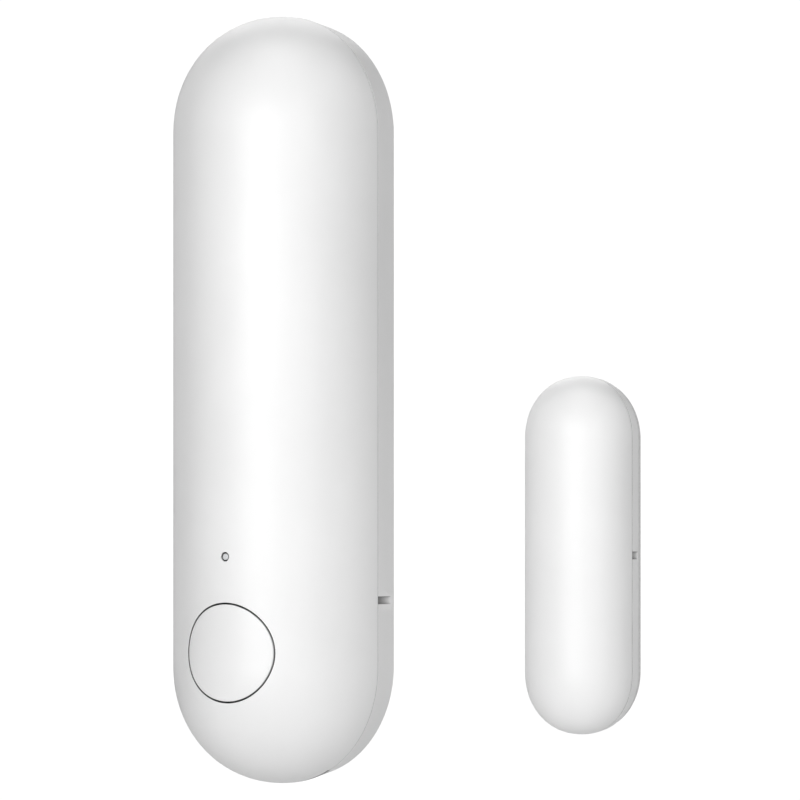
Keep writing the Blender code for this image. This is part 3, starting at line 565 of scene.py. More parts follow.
def add_turned(bm, profile, x, depth, z, forward, count=48):
    """Closed turned solid from (radius, height) points, given from one end to the other.

    Heights run up along Z, or towards the front along -Y where forward is set.
    """
    solid = bmesh.new()

    def vertex(radius, height, turn):
        a, b = radius * math.cos(turn), radius * math.sin(turn)
        place = (x + a, -depth - height, z + b) if forward else (x + a, -depth + b, z + height)
        return solid.verts.new(place)

    rings = []
    for radius, height in profile:
        turns = [2 * math.pi * i / count for i in range(count)] if radius > 0 else [0.0]
        rings.append([vertex(radius, height, turn) for turn in turns])
    closed = profile[0][0] > 0
    pairs = list(zip(rings, rings[1:])) + ([(rings[-1], rings[0])] if closed else [])
    for first, second in pairs:
        for i in range(count):
            j = (i + 1) % count
            quad = [first[i % len(first)], first[j % len(first)]]
            quad += [second[j % len(second)], second[i % len(second)]]
            solid.faces.new(list(dict.fromkeys(quad)))
    bmesh.ops.recalc_face_normals(solid, faces=solid.faces)
    merge(bm, solid)


def arc(radius, height, bend, start, end, count=5):
    """Profile points round a small corner of the given bend radius, angles in degrees from outwards."""
    angles = [math.radians(start + (end - start) * i / count) for i in range(count + 1)]
    return [(radius + bend * math.cos(a), height + bend * math.sin(a)) for a in angles]


def add_wire(bm, points, radius, sides=14):
    """Round wire along a list of points, with flat ends."""
    wire = bmesh.new()
    points = [Vector(point) for point in points]
    across, rings = None, []
    for i, point in enumerate(points):
        ahead = (points[min(i + 1, len(points) - 1)] - points[max(i - 1, 0)]).normalized()
        if across is None:
            across = ahead.orthogonal().normalized()
        across = (across - ahead * across.dot(ahead)).normalized()
        other = ahead.cross(across)
        turns = [2 * math.pi * k / sides for k in range(sides)]
        rings.append([
            wire.verts.new(point + (across * math.cos(t) + other * math.sin(t)) * radius) for t in turns
        ])
    close_over(wire, rings)
    bmesh.ops.recalc_face_normals(wire, faces=wire.faces)
    merge(bm, wire)


def disc(radius, low, high):
    """Profile of a solid round, for add_turned."""
    return [(0.0, low), (radius, low), (radius, high), (0.0, high)]


def add_disc(bm, radius, low, high, x, z, count=24):
    """Round that faces forward, between two depths."""
    add_turned(bm, disc(radius, low, high), x, 0.0, z, True, count)


def round_cutter(radius, low, high, x, z, count=48):
    bm = bmesh.new()
    add_disc(bm, radius, low, high, x, z, count)
    return loose_object(bm)


def block_piece(name, material, node, low, high, rounding, segments=2):
    """One rounded block as a piece of the wall unit."""
    bm = bmesh.new()
    add_block(bm, low, high, rounding, segments)
    return piece_from(bm, name, material, "wall_unit", node)


def corners(node):
    """A CAD node's corners as (x, depth, z), lowest first in each."""
    low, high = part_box(node)
    return (low.x, -high.y, low.z), (high.x, -low.y, high.z)


def middle_of(node):
    low, high = corners(node)
    return [(a + b) / 2 for a, b in zip(low, high)]


def dress(node, material):
    """Give a carried-over CAD node its detailed material."""
    piece = bpy.data.objects[node]
    for slot in piece.material_slots:
        slot.material = material
    if not piece.material_slots:
        piece.data.materials.append(material)


# ---- materials

WHITE = (0.8, 0.8, 0.8)
OFF_WHITE = (0.78, 0.78, 0.78)


def metal(name, colour, roughness, brushed=None):
    """Plated metal: fine brushing or a cloudy plating, with slight tone and roughness changes."""
    n = new_material(name)
    darker = tuple(c * 0.86 for c in colour)
    grain = n.noise(900.0, 3.0, 0.6, brushed)
    rough = n.spread(n.noise(500.0, 2.0), roughness - 0.03, roughness + 0.03)
    return n.finish(n.two_tone(grain, darker, colour), rough, grain, 0.002, Metallic=1.0)


def mineral(name, light, dark, roughness, scale, depth):
    """Sintered, moulded or foamed stuff whose grain shows. The scale is in grains per metre."""
    n = new_material(name)
    grain = n.noise(scale, 4.0, 0.65)
    rough = n.spread(n.noise(scale / 3, 2.0), roughness - 0.05, roughness + 0.05)
    return n.finish(n.two_tone(grain, dark, light), rough, grain, depth)


def solder_mask(name, mask, track, edge):
    """Lacquered board: tracks that show through on both faces, vias, and a bare laminate rim."""
    n = new_material(name)
    place = n.separate(n.coordinates())
    flat = n.add("CombineXYZ", {"X": place["Z"], "Y": place["X"]}).outputs["Vector"]
    rows = {
        "Vector": flat, "Scale": 1.0, "Brick Width": 5.2 * MM, "Row Height": 0.62 * MM,
        "Mortar Size": 0.09 * MM, "Mortar Smooth": 0.2,
    }
    tracks = n.add("TexBrick", rows, offset=0.37, squash=0.6, squash_frequency=3)
    vias = n.add("TexVoronoi", {"Vector": flat, "Scale": 380.0}, feature="F1", distance="EUCLIDEAN")
    dots = n.math("LESS_THAN", vias.outputs["Distance"], 0.1)
    copper = n.math("MAXIMUM", tracks.outputs["Fac"], dots)
    normal = n.separate(n.add("TexCoord").outputs["Normal"])
    on_face = n.math("GREATER_THAN", n.math("ABSOLUTE", normal["Y"]), 0.6)
    colour = n.mix(on_face, opaque(edge), n.mix(copper, opaque(mask), opaque(track)))
    return n.finish(colour, n.spread(n.noise(400.0), 0.22, 0.32), copper, 0.02)


def banded(name, along, bands, roughness, coat=0.0):
    """Printed sleeve or body: plain colour bands along an axis, each (where it starts, colour)."""
    n = new_material(name)
    start, end = bands[0][0], bands[-1][0]
    span = {"Value": n.separate(n.coordinates())[along], "From Min": start, "From Max": end}
    ramp = n.add("ValToRGB", {"Fac": n.add("MapRange", span).outputs["Result"]})
    ramp.color_ramp.interpolation = "CONSTANT"
    elements = ramp.color_ramp.elements
    elements.remove(elements[1])
    for index, (begins, colour) in enumerate(bands[:-1]):
        position = (begins - start) / (end - start)
        element = elements.new(position) if index else elements[0]
        element.position, element.color = position, opaque(colour)
    wear = n.two_tone(n.noise(300.0, 3.0), (0.86, 0.86, 0.86), (1.0, 1.0, 1.0))
    rough = n.spread(n.noise(600.0), roughness - 0.04, roughness + 0.04)
    printed = n.multiply(ramp.outputs["Color"], wear)
    relief = n.noise(800.0, 2.0)
    return n.finish(printed, rough, relief, 0.004, Coat_Weight=coat, Coat_Roughness=0.15)


def clear_glass(name, colour, roughness):
    """Clear glass or resin, slightly uneven in tint and gloss."""
    n = new_material(name)
    tint = n.two_tone(n.noise(200.0), tuple(c * 0.94 for c in colour), colour)
    rough = n.spread(n.noise(300.0), roughness * 0.6, roughness * 1.4)
    return n.finish(tint, rough, Transmission_Weight=1.0, IOR=1.5)


dark_nylon, black_nylon = (0.035, 0.035, 0.037), (0.022, 0.022, 0.024)
# The shells, the button and the tray carry painted shade in their crevices, gaps and marks.
shell_plastic = moulded_plastic("shell_plastic", WHITE, OFF_WHITE, 0.42, painted_shade_share=0.6)
button_plastic = moulded_plastic("button_plastic", WHITE, OFF_WHITE, 0.4, painted_shade_share=0.6)
# The tray's own white, set a little lighter than the covers' as painted light on its side walls.
base_plastic = moulded_plastic("base_plastic", (0.82, 0.82, 0.82), (0.8, 0.8, 0.8), 0.48, painted_shade_share=1.0)
guide_plastic = moulded_plastic("guide_plastic", (0.62, 0.63, 0.64), (0.56, 0.57, 0.58), 0.3)
holder_nylon = moulded_plastic("holder_nylon", dark_nylon, black_nylon, 0.5, 0.15, 0.012)
switch_nylon = moulded_plastic("switch_nylon", (0.03, 0.03, 0.032), (0.018, 0.018, 0.02), 0.42, 0.1, 0.008)
plunger_nylon = moulded_plastic("plunger_nylon", (0.52, 0.5, 0.45), (0.46, 0.44, 0.4), 0.45)
epoxy = moulded_plastic("epoxy", (0.035, 0.035, 0.037), (0.02, 0.02, 0.022), 0.55, 0.08, 0.012)
seal_nylon = moulded_plastic("seal_nylon", (0.72, 0.68, 0.6), (0.64, 0.6, 0.53), 0.55)
pad_foam = mineral("pad_foam", (0.76, 0.76, 0.76), (0.66, 0.66, 0.66), 0.9, 2600.0, 0.05)
soft_foam = mineral("soft_foam", (0.06, 0.06, 0.065), (0.02, 0.02, 0.022), 0.95, 2200.0, 0.08)
ferrite = mineral("ferrite", (0.13, 0.13, 0.14), (0.07, 0.07, 0.075), 0.6, 3200.0, 0.012)
ceramic = mineral("ceramic", (0.74, 0.68, 0.58), (0.66, 0.6, 0.5), 0.5, 2500.0, 0.005)
brown_ceramic = mineral("brown_ceramic", (0.42, 0.27, 0.15), (0.34, 0.21, 0.11), 0.5, 3000.0, 0.005)
board_lacquer = solder_mask("board_lacquer", (0.012, 0.12, 0.045), (0.035, 0.2, 0.08), (0.55, 0.5, 0.3))
module_lacquer = solder_mask("module_lacquer", (0.01, 0.07, 0.03), (0.03, 0.13, 0.06), (0.5, 0.46, 0.28))
zinc = metal("zinc", (0.62, 0.63, 0.65), 0.32)
nickel = metal("nickel", (0.68, 0.66, 0.61), 0.26, (1.0, 1.0, 0.12))
spring_steel = metal("spring_steel", (0.66, 0.64, 0.6), 0.3, (0.15, 1.0, 1.0))
tin = metal("tin", (0.7, 0.7, 0.69), 0.34, (1.0, 1.0, 0.3))
solder = metal("solder", (0.66, 0.67, 0.68), 0.24)
gold = metal("gold", (0.8, 0.62, 0.28), 0.3)
reed_tube = clear_glass("reed_tube", (0.72, 0.9, 0.8), 0.04)
led_resin = clear_glass("led_resin", (0.95, 0.93, 0.8), 0.12)


# ---- shells, seen from outside

MAIN = Housing("main_front_cover", "main_base", MAIN_SECTION)
MAGNET = Housing("magnet_front_cover", "magnet_base", MAGNET_SECTION)

SCREWS = ("board_screw_upper_left", "board_screw_upper_right", "board_screw_lower")
BUTTON_Z = middle_of("pair_button")[2]
BUTTON_HOLE = 5.5 * MM
BUTTON_CAP = 5.3 * MM
COLLAR_INSET = 2.35 * MM
LIGHT_Z = middle_of("led_light_pipe")[2]
LIGHT_HOLE = 0.52 * MM
MAIN_MARK_Z = middle_of("reed_glass")[2]
LATCH_ZS = (12.0 * MM, -12.0 * MM)
LATCH_WIDTH = 4.4 * MM
LATCH_INSET = 1.05 * MM
LATCH_THICKNESS = 0.85 * MM


def main_cover():
    """Front cover with its latch tabs and the sleeve that holds the light guide."""
    holes = [
        (0.0, BUTTON_Z, BUTTON_HOLE, EDGE, 96, (6.5 * MM, COLLAR_INSET)),
        (0.0, LIGHT_Z, LIGHT_HOLE, EDGE / 2, 32, None),
    ]
    piece = cover(MAIN, "front_cover", "main_front_cover", "front_cover", shell_plastic, holes)
    carve(piece, [pry_slot_cutter()])
    bm = bmesh.new()
    low_depth = corners("main_front_cover")[0][1]
    for z in LATCH_ZS:
        for side in (1, -1):
            ends = [side * (MAIN.half_width - LATCH_INSET - t) for t in (0.0, LATCH_THICKNESS)]
            low = (min(ends), low_depth, z - LATCH_WIDTH / 2)
            add_block(bm, low, (max(ends), MAIN.seam + 2.6 * MM, z + LATCH_WIDTH / 2), 0.2 * MM)
    wide, narrow, hole = 1.7 * MM, 0.9 * MM, LIGHT_HOLE + 0.01 * MM
    back, shoulder = 13.0 * MM, 16.6 * MM
    front = MAIN.rim + MAIN.dome - 0.6 * MM
    tube = [(narrow, back), (wide, back), (wide, front), (hole, front)]
    tube += [(hole, shoulder), (narrow, shoulder)]
    add_turned(bm, tube, 0.0, 0.0, LIGHT_Z, True)
    piece_from(bm, "cover_fittings", shell_plastic, "front_cover", "main_front_cover")


def light_pipe():
    """Light guide with a softly crowned tip set just below the cover's skin."""
    low, high = corners("led_light_pipe")
    tip, body, top = 0.36 * MM, (high[0] - low[0]) / 2, MAIN.depth(0.0, LIGHT_Z) - 0.06 * MM
    shoulder, bend = 16.4 * MM, 0.12 * MM
    profile = [(0.0, low[1])] + arc(body - bend, low[1] + bend, bend, -90, 0)
    profile += arc(body - bend, shoulder - bend, bend, 0, 90) + [(tip, shoulder)]
    profile += arc(tip - bend, top - bend, bend, 0, 90) + [(0.0, top + 0.02 * MM)]
    bm = bmesh.new()
    add_turned(bm, profile, 0.0, 0.0, LIGHT_Z, True)
    piece_from(bm, "light_guide", guide_plastic, "front_cover", "led_light_pipe")


def button():
    """Cap that carries on the dome, with its flange behind the cover and the stem to the switch."""
    count, edge = 96, EDGE
    stem_radius, stem_end, bend = 1.9 * MM, corners("pair_button")[0][1], 0.2 * MM
    bm = bmesh.new()

    def ring(radius, inset=0.0, drop=0.0):
        return skin_ring(bm, MAIN, circle(radius, 0.0, BUTTON_Z, count), inset, drop)

    face_radius = BUTTON_CAP - edge
    rings = [ring(face_radius * i / 12) for i in range(1, 13)]
    rings += [ring(BUTTON_CAP - inward, drop=drop) for drop, inward in round_steps(edge, start=1)]
    front, wall, flange, cavity = COLLAR_INSET + 0.15 * MM, 1.2 * MM, 6.4 * MM, 4.3 * MM
    back = front + 0.8 * MM
    steps = (
        (BUTTON_CAP, front), (flange, front), (flange, back), (cavity, back), (cavity, wall),
        (stem_radius, wall),
    )
    rings += [ring(radius, inset) for radius, inset in steps]
    for inward, rise in round_steps(bend):
        line = circle(stem_radius - inward, 0.0, BUTTON_Z, count)
        rings.append(level_ring(bm, MAIN, line, stem_end + rise))
    bridge_all(bm, rings)
    crown = bm.verts.new(MAIN.place(0.0, BUTTON_Z, MAIN.depth(0.0, BUTTON_Z)))
    for i in range(count):
        bm.faces.new((rings[0][i], rings[0][(i + 1) % count], crown))
    bm.faces.new(rings[-1])
    piece_from(bm, "push_button", button_plastic, "button", "pair_button")


def main_tray():
    """Back tray with its marks, pry slot, latch pockets and screw bosses."""
    piece = tray(MAIN, "base_tray", "main_base", "wall_unit", base_plastic)
    tools = side_mark_cutters(MAIN, MAIN_MARK_Z, MAIN_MARK_CUT) + [pry_slot_cutter()]
    low_depth = corners("main_front_cover")[0][1] - 0.2 * MM
    for z in LATCH_ZS:
        for side in (1, -1):
            ends = [side * (MAIN.half_width - inset) for inset in (LATCH_INSET - 0.1 * MM, 2.1 * MM)]
            half = LATCH_WIDTH / 2 + 0.2 * MM
            tools.append(cutter((min(ends), low_depth, z - half), (max(ends), 2 * MAIN.seam, z + half)))
    carve(piece, tools)
    bm = bmesh.new()
    floor, top = MAIN.back + MAIN.section["floor"], corners("circuit_board")[0][1] - 0.1 * MM
    for name in SCREWS:
        x, _, z = middle_of(name)
        bore, outer, bend = 0.7 * MM, 1.8 * MM, 0.15 * MM
        profile = [(bore, floor - 0.3 * MM), (outer, floor - 0.3 * MM)]
        profile += arc(outer - bend, top - bend, bend, 0, 90) + [(bore, top)]
        add_turned(bm, profile, x, 0.0, z, True)
    piece_from(bm, "screw_bosses", base_plastic, "wall_unit", "main_base")


def magnet_housing():
    cover(MAGNET, "magnet_cover", "magnet_front_cover", "magnet_unit", shell_plastic)
    piece = tray(MAGNET, "magnet_tray", "magnet_base", "magnet_unit", base_plastic)
    carve(piece, side_mark_cutters(MAGNET, MAGNET.centre.z, MAGNET_MARK_CUT))


def adhesive_pad(housing, name, node, body, inset):
    """Die-cut foam pad with slightly rounded edges."""
    bm = bmesh.new()
    thickness, bend = corners(node)[1][1], 0.12 * MM
    inset += housing.section["draft"]
    rings = [(inset + inward, rise) for rise, inward in round_steps(bend)]
    rings += [(i, thickness - d) for i, d in reversed(rings)]
    close_over(bm, [
        level_ring(bm, housing, housing.outline(i, BACK_SOFTNESS), depth) for i, depth in rings
    ])
    piece_from(bm, name, pad_foam, body, node)


# ---- board and what stands on it

BOARD_FACE = corners("circuit_board")[1][1]
BOARD_INSET = 2.4 * MM
BOARD_EDGE = 0.06 * MM
PAD_BACK = BOARD_FACE - 0.02 * MM
PAD_FRONT = BOARD_FACE + 0.03 * MM
CORNERS = ((1, 1), (1, -1), (-1, 1), (-1, -1))
TEST_PAD_X = 5.6 * MM
SWITCH_FEET = (3.5 * MM, 2.25 * MM)
SWITCH_RIVETS = 2.05 * MM
TEST_PAD_ZS = (-31.0 * MM, -32.6 * MM, -34.2 * MM, -13.5 * MM, -12.5 * MM)


def circuit_board():
    """Board with the housing's outline and a hole for each screw."""
    bm = bmesh.new()
    back = corners("circuit_board")[0][1]
    sections = (
        (BOARD_INSET + BOARD_EDGE, back), (BOARD_INSET, back + BOARD_EDGE),
        (BOARD_INSET, BOARD_FACE - BOARD_EDGE), (BOARD_INSET + BOARD_EDGE, BOARD_FACE),
    )
    close_over(bm, [level_ring(bm, MAIN, MAIN.outline(inset), depth) for inset, depth in sections])
    piece = piece_from(bm, "main_board", board_lacquer, "wall_unit", "circuit_board")
    holes = bmesh.new()
    for name in SCREWS:
        x, _, z = middle_of(name)
        add_disc(holes, 0.8 * MM, back - MM, BOARD_FACE + MM, x, z, 40)
    carve(piece, [loose_object(holes)])


def landing_pads():
    """Bare plated copper: rings round the screws, and round test pads."""
    bm = bmesh.new()
    bore, outer = 0.85 * MM, 2.0 * MM
    for name in SCREWS:
        x, _, z = middle_of(name)
        ring = [(bore, PAD_BACK), (outer, PAD_BACK), (outer, PAD_FRONT), (bore, PAD_FRONT)]
        add_turned(bm, ring, x, 0.0, z, True)
    for z in TEST_PAD_ZS:
        add_disc(bm, 0.55 * MM, PAD_BACK, PAD_FRONT, TEST_PAD_X, z)
    piece_from(bm, "landing_pads", gold, "wall_unit")


def solder_joints():
    """Fillets where the reed wires and the switch's legs meet the board."""
    bm = bmesh.new()
    reed_x, _, _ = middle_of("reed_glass")
    inwards = 0.25 * MM
    ends = (corners("reed_blade_upper")[1][2] - inwards, corners("reed_blade_lower")[0][2] + inwards)
    fillet = [(0.0, 0.0), (0.85, 0.0), (0.6, 0.14), (0.36, 0.4), (0.0, 0.62)]
    fillet = [(radius * MM, height * MM) for radius, height in fillet]
    for z in ends:
        add_turned(bm, fillet, reed_x, PAD_BACK, z, True, 32)
    x, _, z = middle_of("tact_switch_body")
    half_width, half_height = 0.55 * MM, 0.5 * MM
    for side, up in CORNERS:
        at_x, at_z = x + side * SWITCH_FEET[0], z + up * SWITCH_FEET[1]
        low = (at_x - half_width, PAD_BACK, at_z - half_height)
        add_block(bm, low, (at_x + half_width, BOARD_FACE + 0.12 * MM, at_z + half_height), 0.06 * MM)
    piece_from(bm, "solder_joints", solder, "wall_unit")


def screws():
    """Pan-head screws with a cross recess."""
    for name in SCREWS:
        low, high = corners(name)
        x, _, z = middle_of(name)
        head, shank, rim, bend = (high[0] - low[0]) / 2, 0.6 * MM, 0.3 * MM, 0.08 * MM
        top, seat = high[1], high[1] - 0.9 * MM
        profile = [(0.0, low[1]), (shank * 0.35, low[1] + 0.1 * MM), (shank, low[1] + 0.7 * MM)]
        profile += [(shank, seat)] + arc(head - bend, seat + bend, bend, -90, 0, 3)
        crown = [math.pi / 2 * i / 8 for i in range(8)]
        rise = top - seat - rim
        profile += [(head * math.cos(t), seat + rim + rise * math.sin(t)) for t in crown]
        profile.append((0.0, top))
        bm = bmesh.new()
        add_turned(bm, profile, x, 0.0, z, True)
        piece = piece_from(bm, f"{name}_cross_head", zinc, "wall_unit", name)
        long_side, short_side, deep = 0.8 * MM, 0.17 * MM, 0.5 * MM
        for across, up in ((long_side, short_side), (short_side, long_side)):
            cross = cutter((x - across, top - deep, z - up), (x + across, top + MM, z + up))
            carve(piece, [cross])


def chip(node, material, ends="z", share=0.2, rounding=0.1 * MM):
    """Surface-mounted piece with its plated end terminals, which reach down to the board."""
    low, high = corners(node)
    block_piece(f"{node}_body", material, node, low, high, rounding, 3)
    bm = bmesh.new()
    axis = 2 if ends == "z" else 0
    length = high[axis] - low[axis]
    plating = 0.03 * MM
    for start in (low[axis] - plating, high[axis] + plating - length * share):
        cap_low = [low[0] - plating, BOARD_FACE, low[2] - plating]
        cap_high = [high[0] + plating, high[1] + plating, high[2] + plating]
        cap_low[axis], cap_high[axis] = start, start + length * share
        add_block(bm, cap_low, cap_high, 0.06 * MM)
    piece_from(bm, f"{node}_terminals", tin, "wall_unit", node)


def add_lead(bm, x, side, inwards, outwards, top, z, half_width, rounding):
    """Flat lead from the board's face up to a depth, across a side at x."""
    ends = sorted((x - side * inwards, x + side * outwards))
    add_block(bm, (ends[0], BOARD_FACE, z - half_width), (ends[1], top, z + half_width), rounding)


def leaded_chip(node):
    """Flat moulded chip with small leads along two sides and a dimple in one corner."""
    low, high = corners(node)
    piece = block_piece(f"{node}_body", epoxy, node, low, high, 0.09 * MM)
    in_corner = 0.4 * MM
    dimple = (0.14 * MM, high[1] - 0.06 * MM, high[1] + MM, low[0] + in_corner, high[2] - in_corner)
    carve(piece, [round_cutter(*dimple, 24)])
    bm = bmesh.new()
    pitch = (high[2] - low[2]) / 3
    for index in range(3):
        z = low[2] + pitch * (index + 0.5)
        for side, x in ((1, high[0]), (-1, low[0])):
            top = BOARD_FACE + 0.16 * MM
            add_lead(bm, x, side, 0.1 * MM, 0.45 * MM, top, z, 0.13 * MM, 0.03 * MM)
    piece_from(bm, f"{node}_leads", tin, "wall_unit", node)


def crystal():
    """Ceramic base with a metal lid set in from its edge."""
    low, high = corners("crystal_oscillator")
    base_top = (high[0], high[1] - 0.25 * MM, high[2])
    block_piece("crystal_base", ceramic, "crystal_oscillator", low, base_top, 0.06 * MM)
    rim = 0.22 * MM
    lid_low = (low[0] + rim, high[1] - 0.4 * MM, low[2] + rim)
    lid_high = (high[0] - rim, high[1], high[2] - rim)
    block_piece("crystal_lid", nickel, "crystal_oscillator", lid_low, lid_high, 0.1 * MM, 3)


def status_light():
    """Light-emitting diode: a pale carrier, a resin lens and wrapped end terminals."""
    node = "status_led"
    low, high = corners(node)
    carrier_top = (high[0], high[1] - 0.28 * MM, high[2])
    block_piece("led_carrier", seal_nylon, node, low, carrier_top, 0.04 * MM)
    end, side = 0.25 * MM, 0.06 * MM
    lens_low = (low[0] + end, high[1] - 0.32 * MM, low[2] + side)
    lens_high = (high[0] - end, high[1], high[2] - side)
    block_piece("led_lens", led_resin, node, lens_low, lens_high, 0.1 * MM, 3)
    bm = bmesh.new()
    plating, width, top = 0.02 * MM, 0.2 * MM, high[1] - 0.26 * MM
    for x in (low[0] - plating, high[0] + plating - width):
        add_block(bm, (x, BOARD_FACE, low[2] - plating), (x + width, top, high[2] + plating), 0.03 * MM)
    piece_from(bm, "led_terminals", gold, "wall_unit", node)


def chips():
    """The small parts that stand on the board."""
    chip("filter_capacitor_upper", brown_ceramic, share=0.24)
    chip("filter_capacitor_lower", brown_ceramic, share=0.24)
    low, high = corners("storage_capacitor")
    stripe = 0.75 * MM
    yellow, brown = (0.6, 0.38, 0.07), (0.25, 0.13, 0.03)
    bands = [(low[2], yellow), (high[2] - stripe, brown), (high[2], brown)]
    chip("storage_capacitor", banded("tantalum", "Z", bands, 0.45), share=0.1, rounding=0.14 * MM)
    chip("boost_inductor", ferrite, share=0.22, rounding=0.2 * MM)
    leaded_chip("power_converter_chip")
    crystal()
    chip("ceramic_antenna", ceramic, "x", 0.16)
    status_light()


def radio_module():
    """Module board with edge contacts, a vented shield can and its antenna end left bare."""
    low, high = corners("radio_module_board")
    block_piece("module_board", module_lacquer, "radio_module_board", low, high, 0.04 * MM, 1)
    bm = bmesh.new()
    pitch, count, top = 1.1 * MM, 9, high[1] + 0.03 * MM
    for index in range(count):
        z = high[2] - 1.0 * MM - pitch * index
        for side, x in ((1, high[0]), (-1, low[0])):
            add_lead(bm, x, side, 0.35 * MM, 0.06 * MM, top, z, 0.3 * MM, 0.05 * MM)
    piece_from(bm, "module_contacts", gold, "wall_unit", "radio_module_board")
    low, high = corners("radio_shield_can")
    piece = block_piece("shield_can", tin, "radio_shield_can", low, high, 0.3 * MM, 4)
    vents = bmesh.new()
    for row in range(3):
        for column in range(2):
            x = low[0] + (high[0] - low[0]) * (column + 1) / 3
            z = high[2] - 1.6 * MM - 1.3 * MM * row
            add_disc(vents, 0.28 * MM, high[1] - 0.15 * MM, high[1] + MM, x, z)
    carve(piece, [loose_object(vents)])


def reed_switch():
    """Glass tube drawn in at its ends round two flat blades that overlap in the middle."""
    low, high = corners("reed_glass")
    x, depth, middle = middle_of("reed_glass")
    radius, half = (high[0] - low[0]) / 2, (high[2] - low[2]) / 2
    bend, bore, neck = 0.7 * MM, 0.66 * MM, 0.27 * MM
    outer = [(neck, -half)] + arc(radius - bend, bend - half, bend, -90, 0, 8)
    outer += arc(radius - bend, half - bend, bend, 0, 90, 8) + [(neck, half)]
    shoulder, taper = half - 1.6 * MM, half - 1.1 * MM
    inner = [(neck, taper), (bore * 0.75, shoulder + 0.2 * MM), (bore, shoulder - 0.2 * MM)]
    inner += [(r, -h) for r, h in reversed(inner)]
    bm = bmesh.new()
    add_turned(bm, outer + inner, x, depth, middle, False, 40)
    piece_from(bm, "reed_tube", reed_tube, "wall_unit", "reed_glass")
    foot, wire, turn = BOARD_FACE + 0.02 * MM, 0.25 * MM, 0.5 * MM
    for node, sign in (("reed_blade_upper", 1), ("reed_blade_lower", -1)):
        blade_low, blade_high = corners(node)
        bend_z = blade_high[2] - wire if sign > 0 else blade_low[2] + wire
        tip = blade_low[2] if sign > 0 else blade_high[2]
        start = middle + sign * (half - 2.2 * MM)
        points = [(x, -depth, start + (bend_z - sign * turn - start) * i / 4) for i in range(5)]
        for step in range(1, 9):
            angle = math.pi / 2 * step / 8
            z = bend_z - sign * turn * (1 - math.sin(angle))
            points.append((x, -depth + turn * (1 - math.cos(angle)), z))
        points.append((x, -foot, bend_z))
        bm = bmesh.new()
        add_wire(bm, points, wire)
        shift, half_width, half_thickness = depth + sign * 0.12 * MM, 0.4 * MM, 0.09 * MM
        ends = sorted((tip, start + sign * 0.4 * MM))
        low = (x - half_width, shift - half_thickness, ends[0])
        add_block(bm, low, (x + half_width, shift + half_thickness, ends[1]), 0.04 * MM)
        piece_from(bm, f"{node}_leaf", nickel, "wall_unit", node)


def tact_switch():
    """Moulded body in a steel cover with four corner rivets, bent legs and a round plunger."""
    node = "tact_switch_body"
    body_low, body_high = corners(node)
    x, _, z = middle_of(node)
    plunger_low, plunger_high = corners("tact_switch_plunger")
    radius = (plunger_high[0] - plunger_low[0]) / 2
    well, floor = radius + 0.12 * MM, plunger_low[1] - 0.4 * MM
    body = block_piece("switch_body", switch_nylon, node, body_low, body_high, 0.25 * MM, 3)
    carve(body, [round_cutter(well, floor, body_high[1] + MM, x, z)])
    low, high = corners("tact_switch_plate")
    plate = block_piece("switch_plate", tin, "tact_switch_plate", low, high, 0.1 * MM, 3)
    carve(plate, [round_cutter(well, low[1] - MM, high[1] + MM, x, z)])
    bm = bmesh.new()
    foot = low[1] - 0.2 * MM
    for side, up in CORNERS:
        rivet = [(0.0, foot), (0.42 * MM, foot)]
        rivet += arc(0.32 * MM, high[1] + 0.04 * MM, 0.1 * MM, 0, 90, 3) + [(0.0, high[1] + 0.14 * MM)]
        add_turned(bm, rivet, x + side * SWITCH_RIVETS, 0.0, z + up * SWITCH_RIVETS, True, 28)
    piece_from(bm, "switch_rivets", switch_nylon, "wall_unit", node)
    bm = bmesh.new()
    pad, half_width = 0.08 * MM, 0.35 * MM
    # A leg's bends, as (outwards from the body's side, forward from the board's face)
    bends = ((-0.3 * MM, 1.3 * MM), (0.25 * MM, 1.3 * MM), (0.35 * MM, 0.25 * MM), (0.95 * MM, 0.15 * MM))
    for side, up in CORNERS:
        edge, at_z = body_high[0] if side > 0 else body_low[0], z + up * SWITCH_FEET[1]
        path = [(edge + side * out, BOARD_FACE + rise) for out, rise in bends]
        for (x0, d0), (x1, d1) in zip(path, path[1:]):
            low = (min(x0, x1) - pad, min(d0, d1) - pad, at_z - half_width)
            add_block(bm, low, (max(x0, x1) + pad, max(d0, d1) + pad, at_z + half_width), 0.05 * MM)
    piece_from(bm, "switch_legs", tin, "wall_unit", node)
    bm = bmesh.new()
    bend = 0.3 * MM
    profile = [(0.0, plunger_low[1]), (radius, plunger_low[1])]
    profile += arc(radius - bend, plunger_high[1] - bend, bend, 0, 90, 6) + [(0.0, plunger_high[1])]
    add_turned(bm, profile, x, 0.0, z, True)
    piece_from(bm, "switch_button", plunger_nylon, "switch_plunger", "tact_switch_plunger")


# ---- cell and its holder


CAN_LIP = 0.6 * MM
CELL_BEND = 0.25 * MM


def cell_can(x, depth, can, nub):
    """Crimped can with its raised plus contact."""
    low, high = corners("battery_can")
    bottom, top = low[2], high[2]
    shoulder, seal_low = top - 1.0 * MM, corners("battery_insulator_ring")[0][2]
    dent, bend = bottom + 0.12 * MM, CELL_BEND
    profile = [(0.0, dent), (can * 0.62, dent), (can * 0.68, bottom)]
    profile += arc(can - bend, bottom + bend, bend, -90, 0)
    profile += arc(can - bend, shoulder - bend, bend, 0, 90)
    profile += [(can - CAN_LIP + 0.05 * MM, shoulder), (can - CAN_LIP, seal_low), (nub, seal_low)]
    profile += arc(nub - 0.15 * MM, top - 0.15 * MM, 0.15 * MM, 0, 90) + [(0.0, top)]
    bm = bmesh.new()
    add_turned(bm, profile, x, depth, 0.0, False, 72)
    piece_from(bm, "cell_can", nickel, "cell", "battery_can")


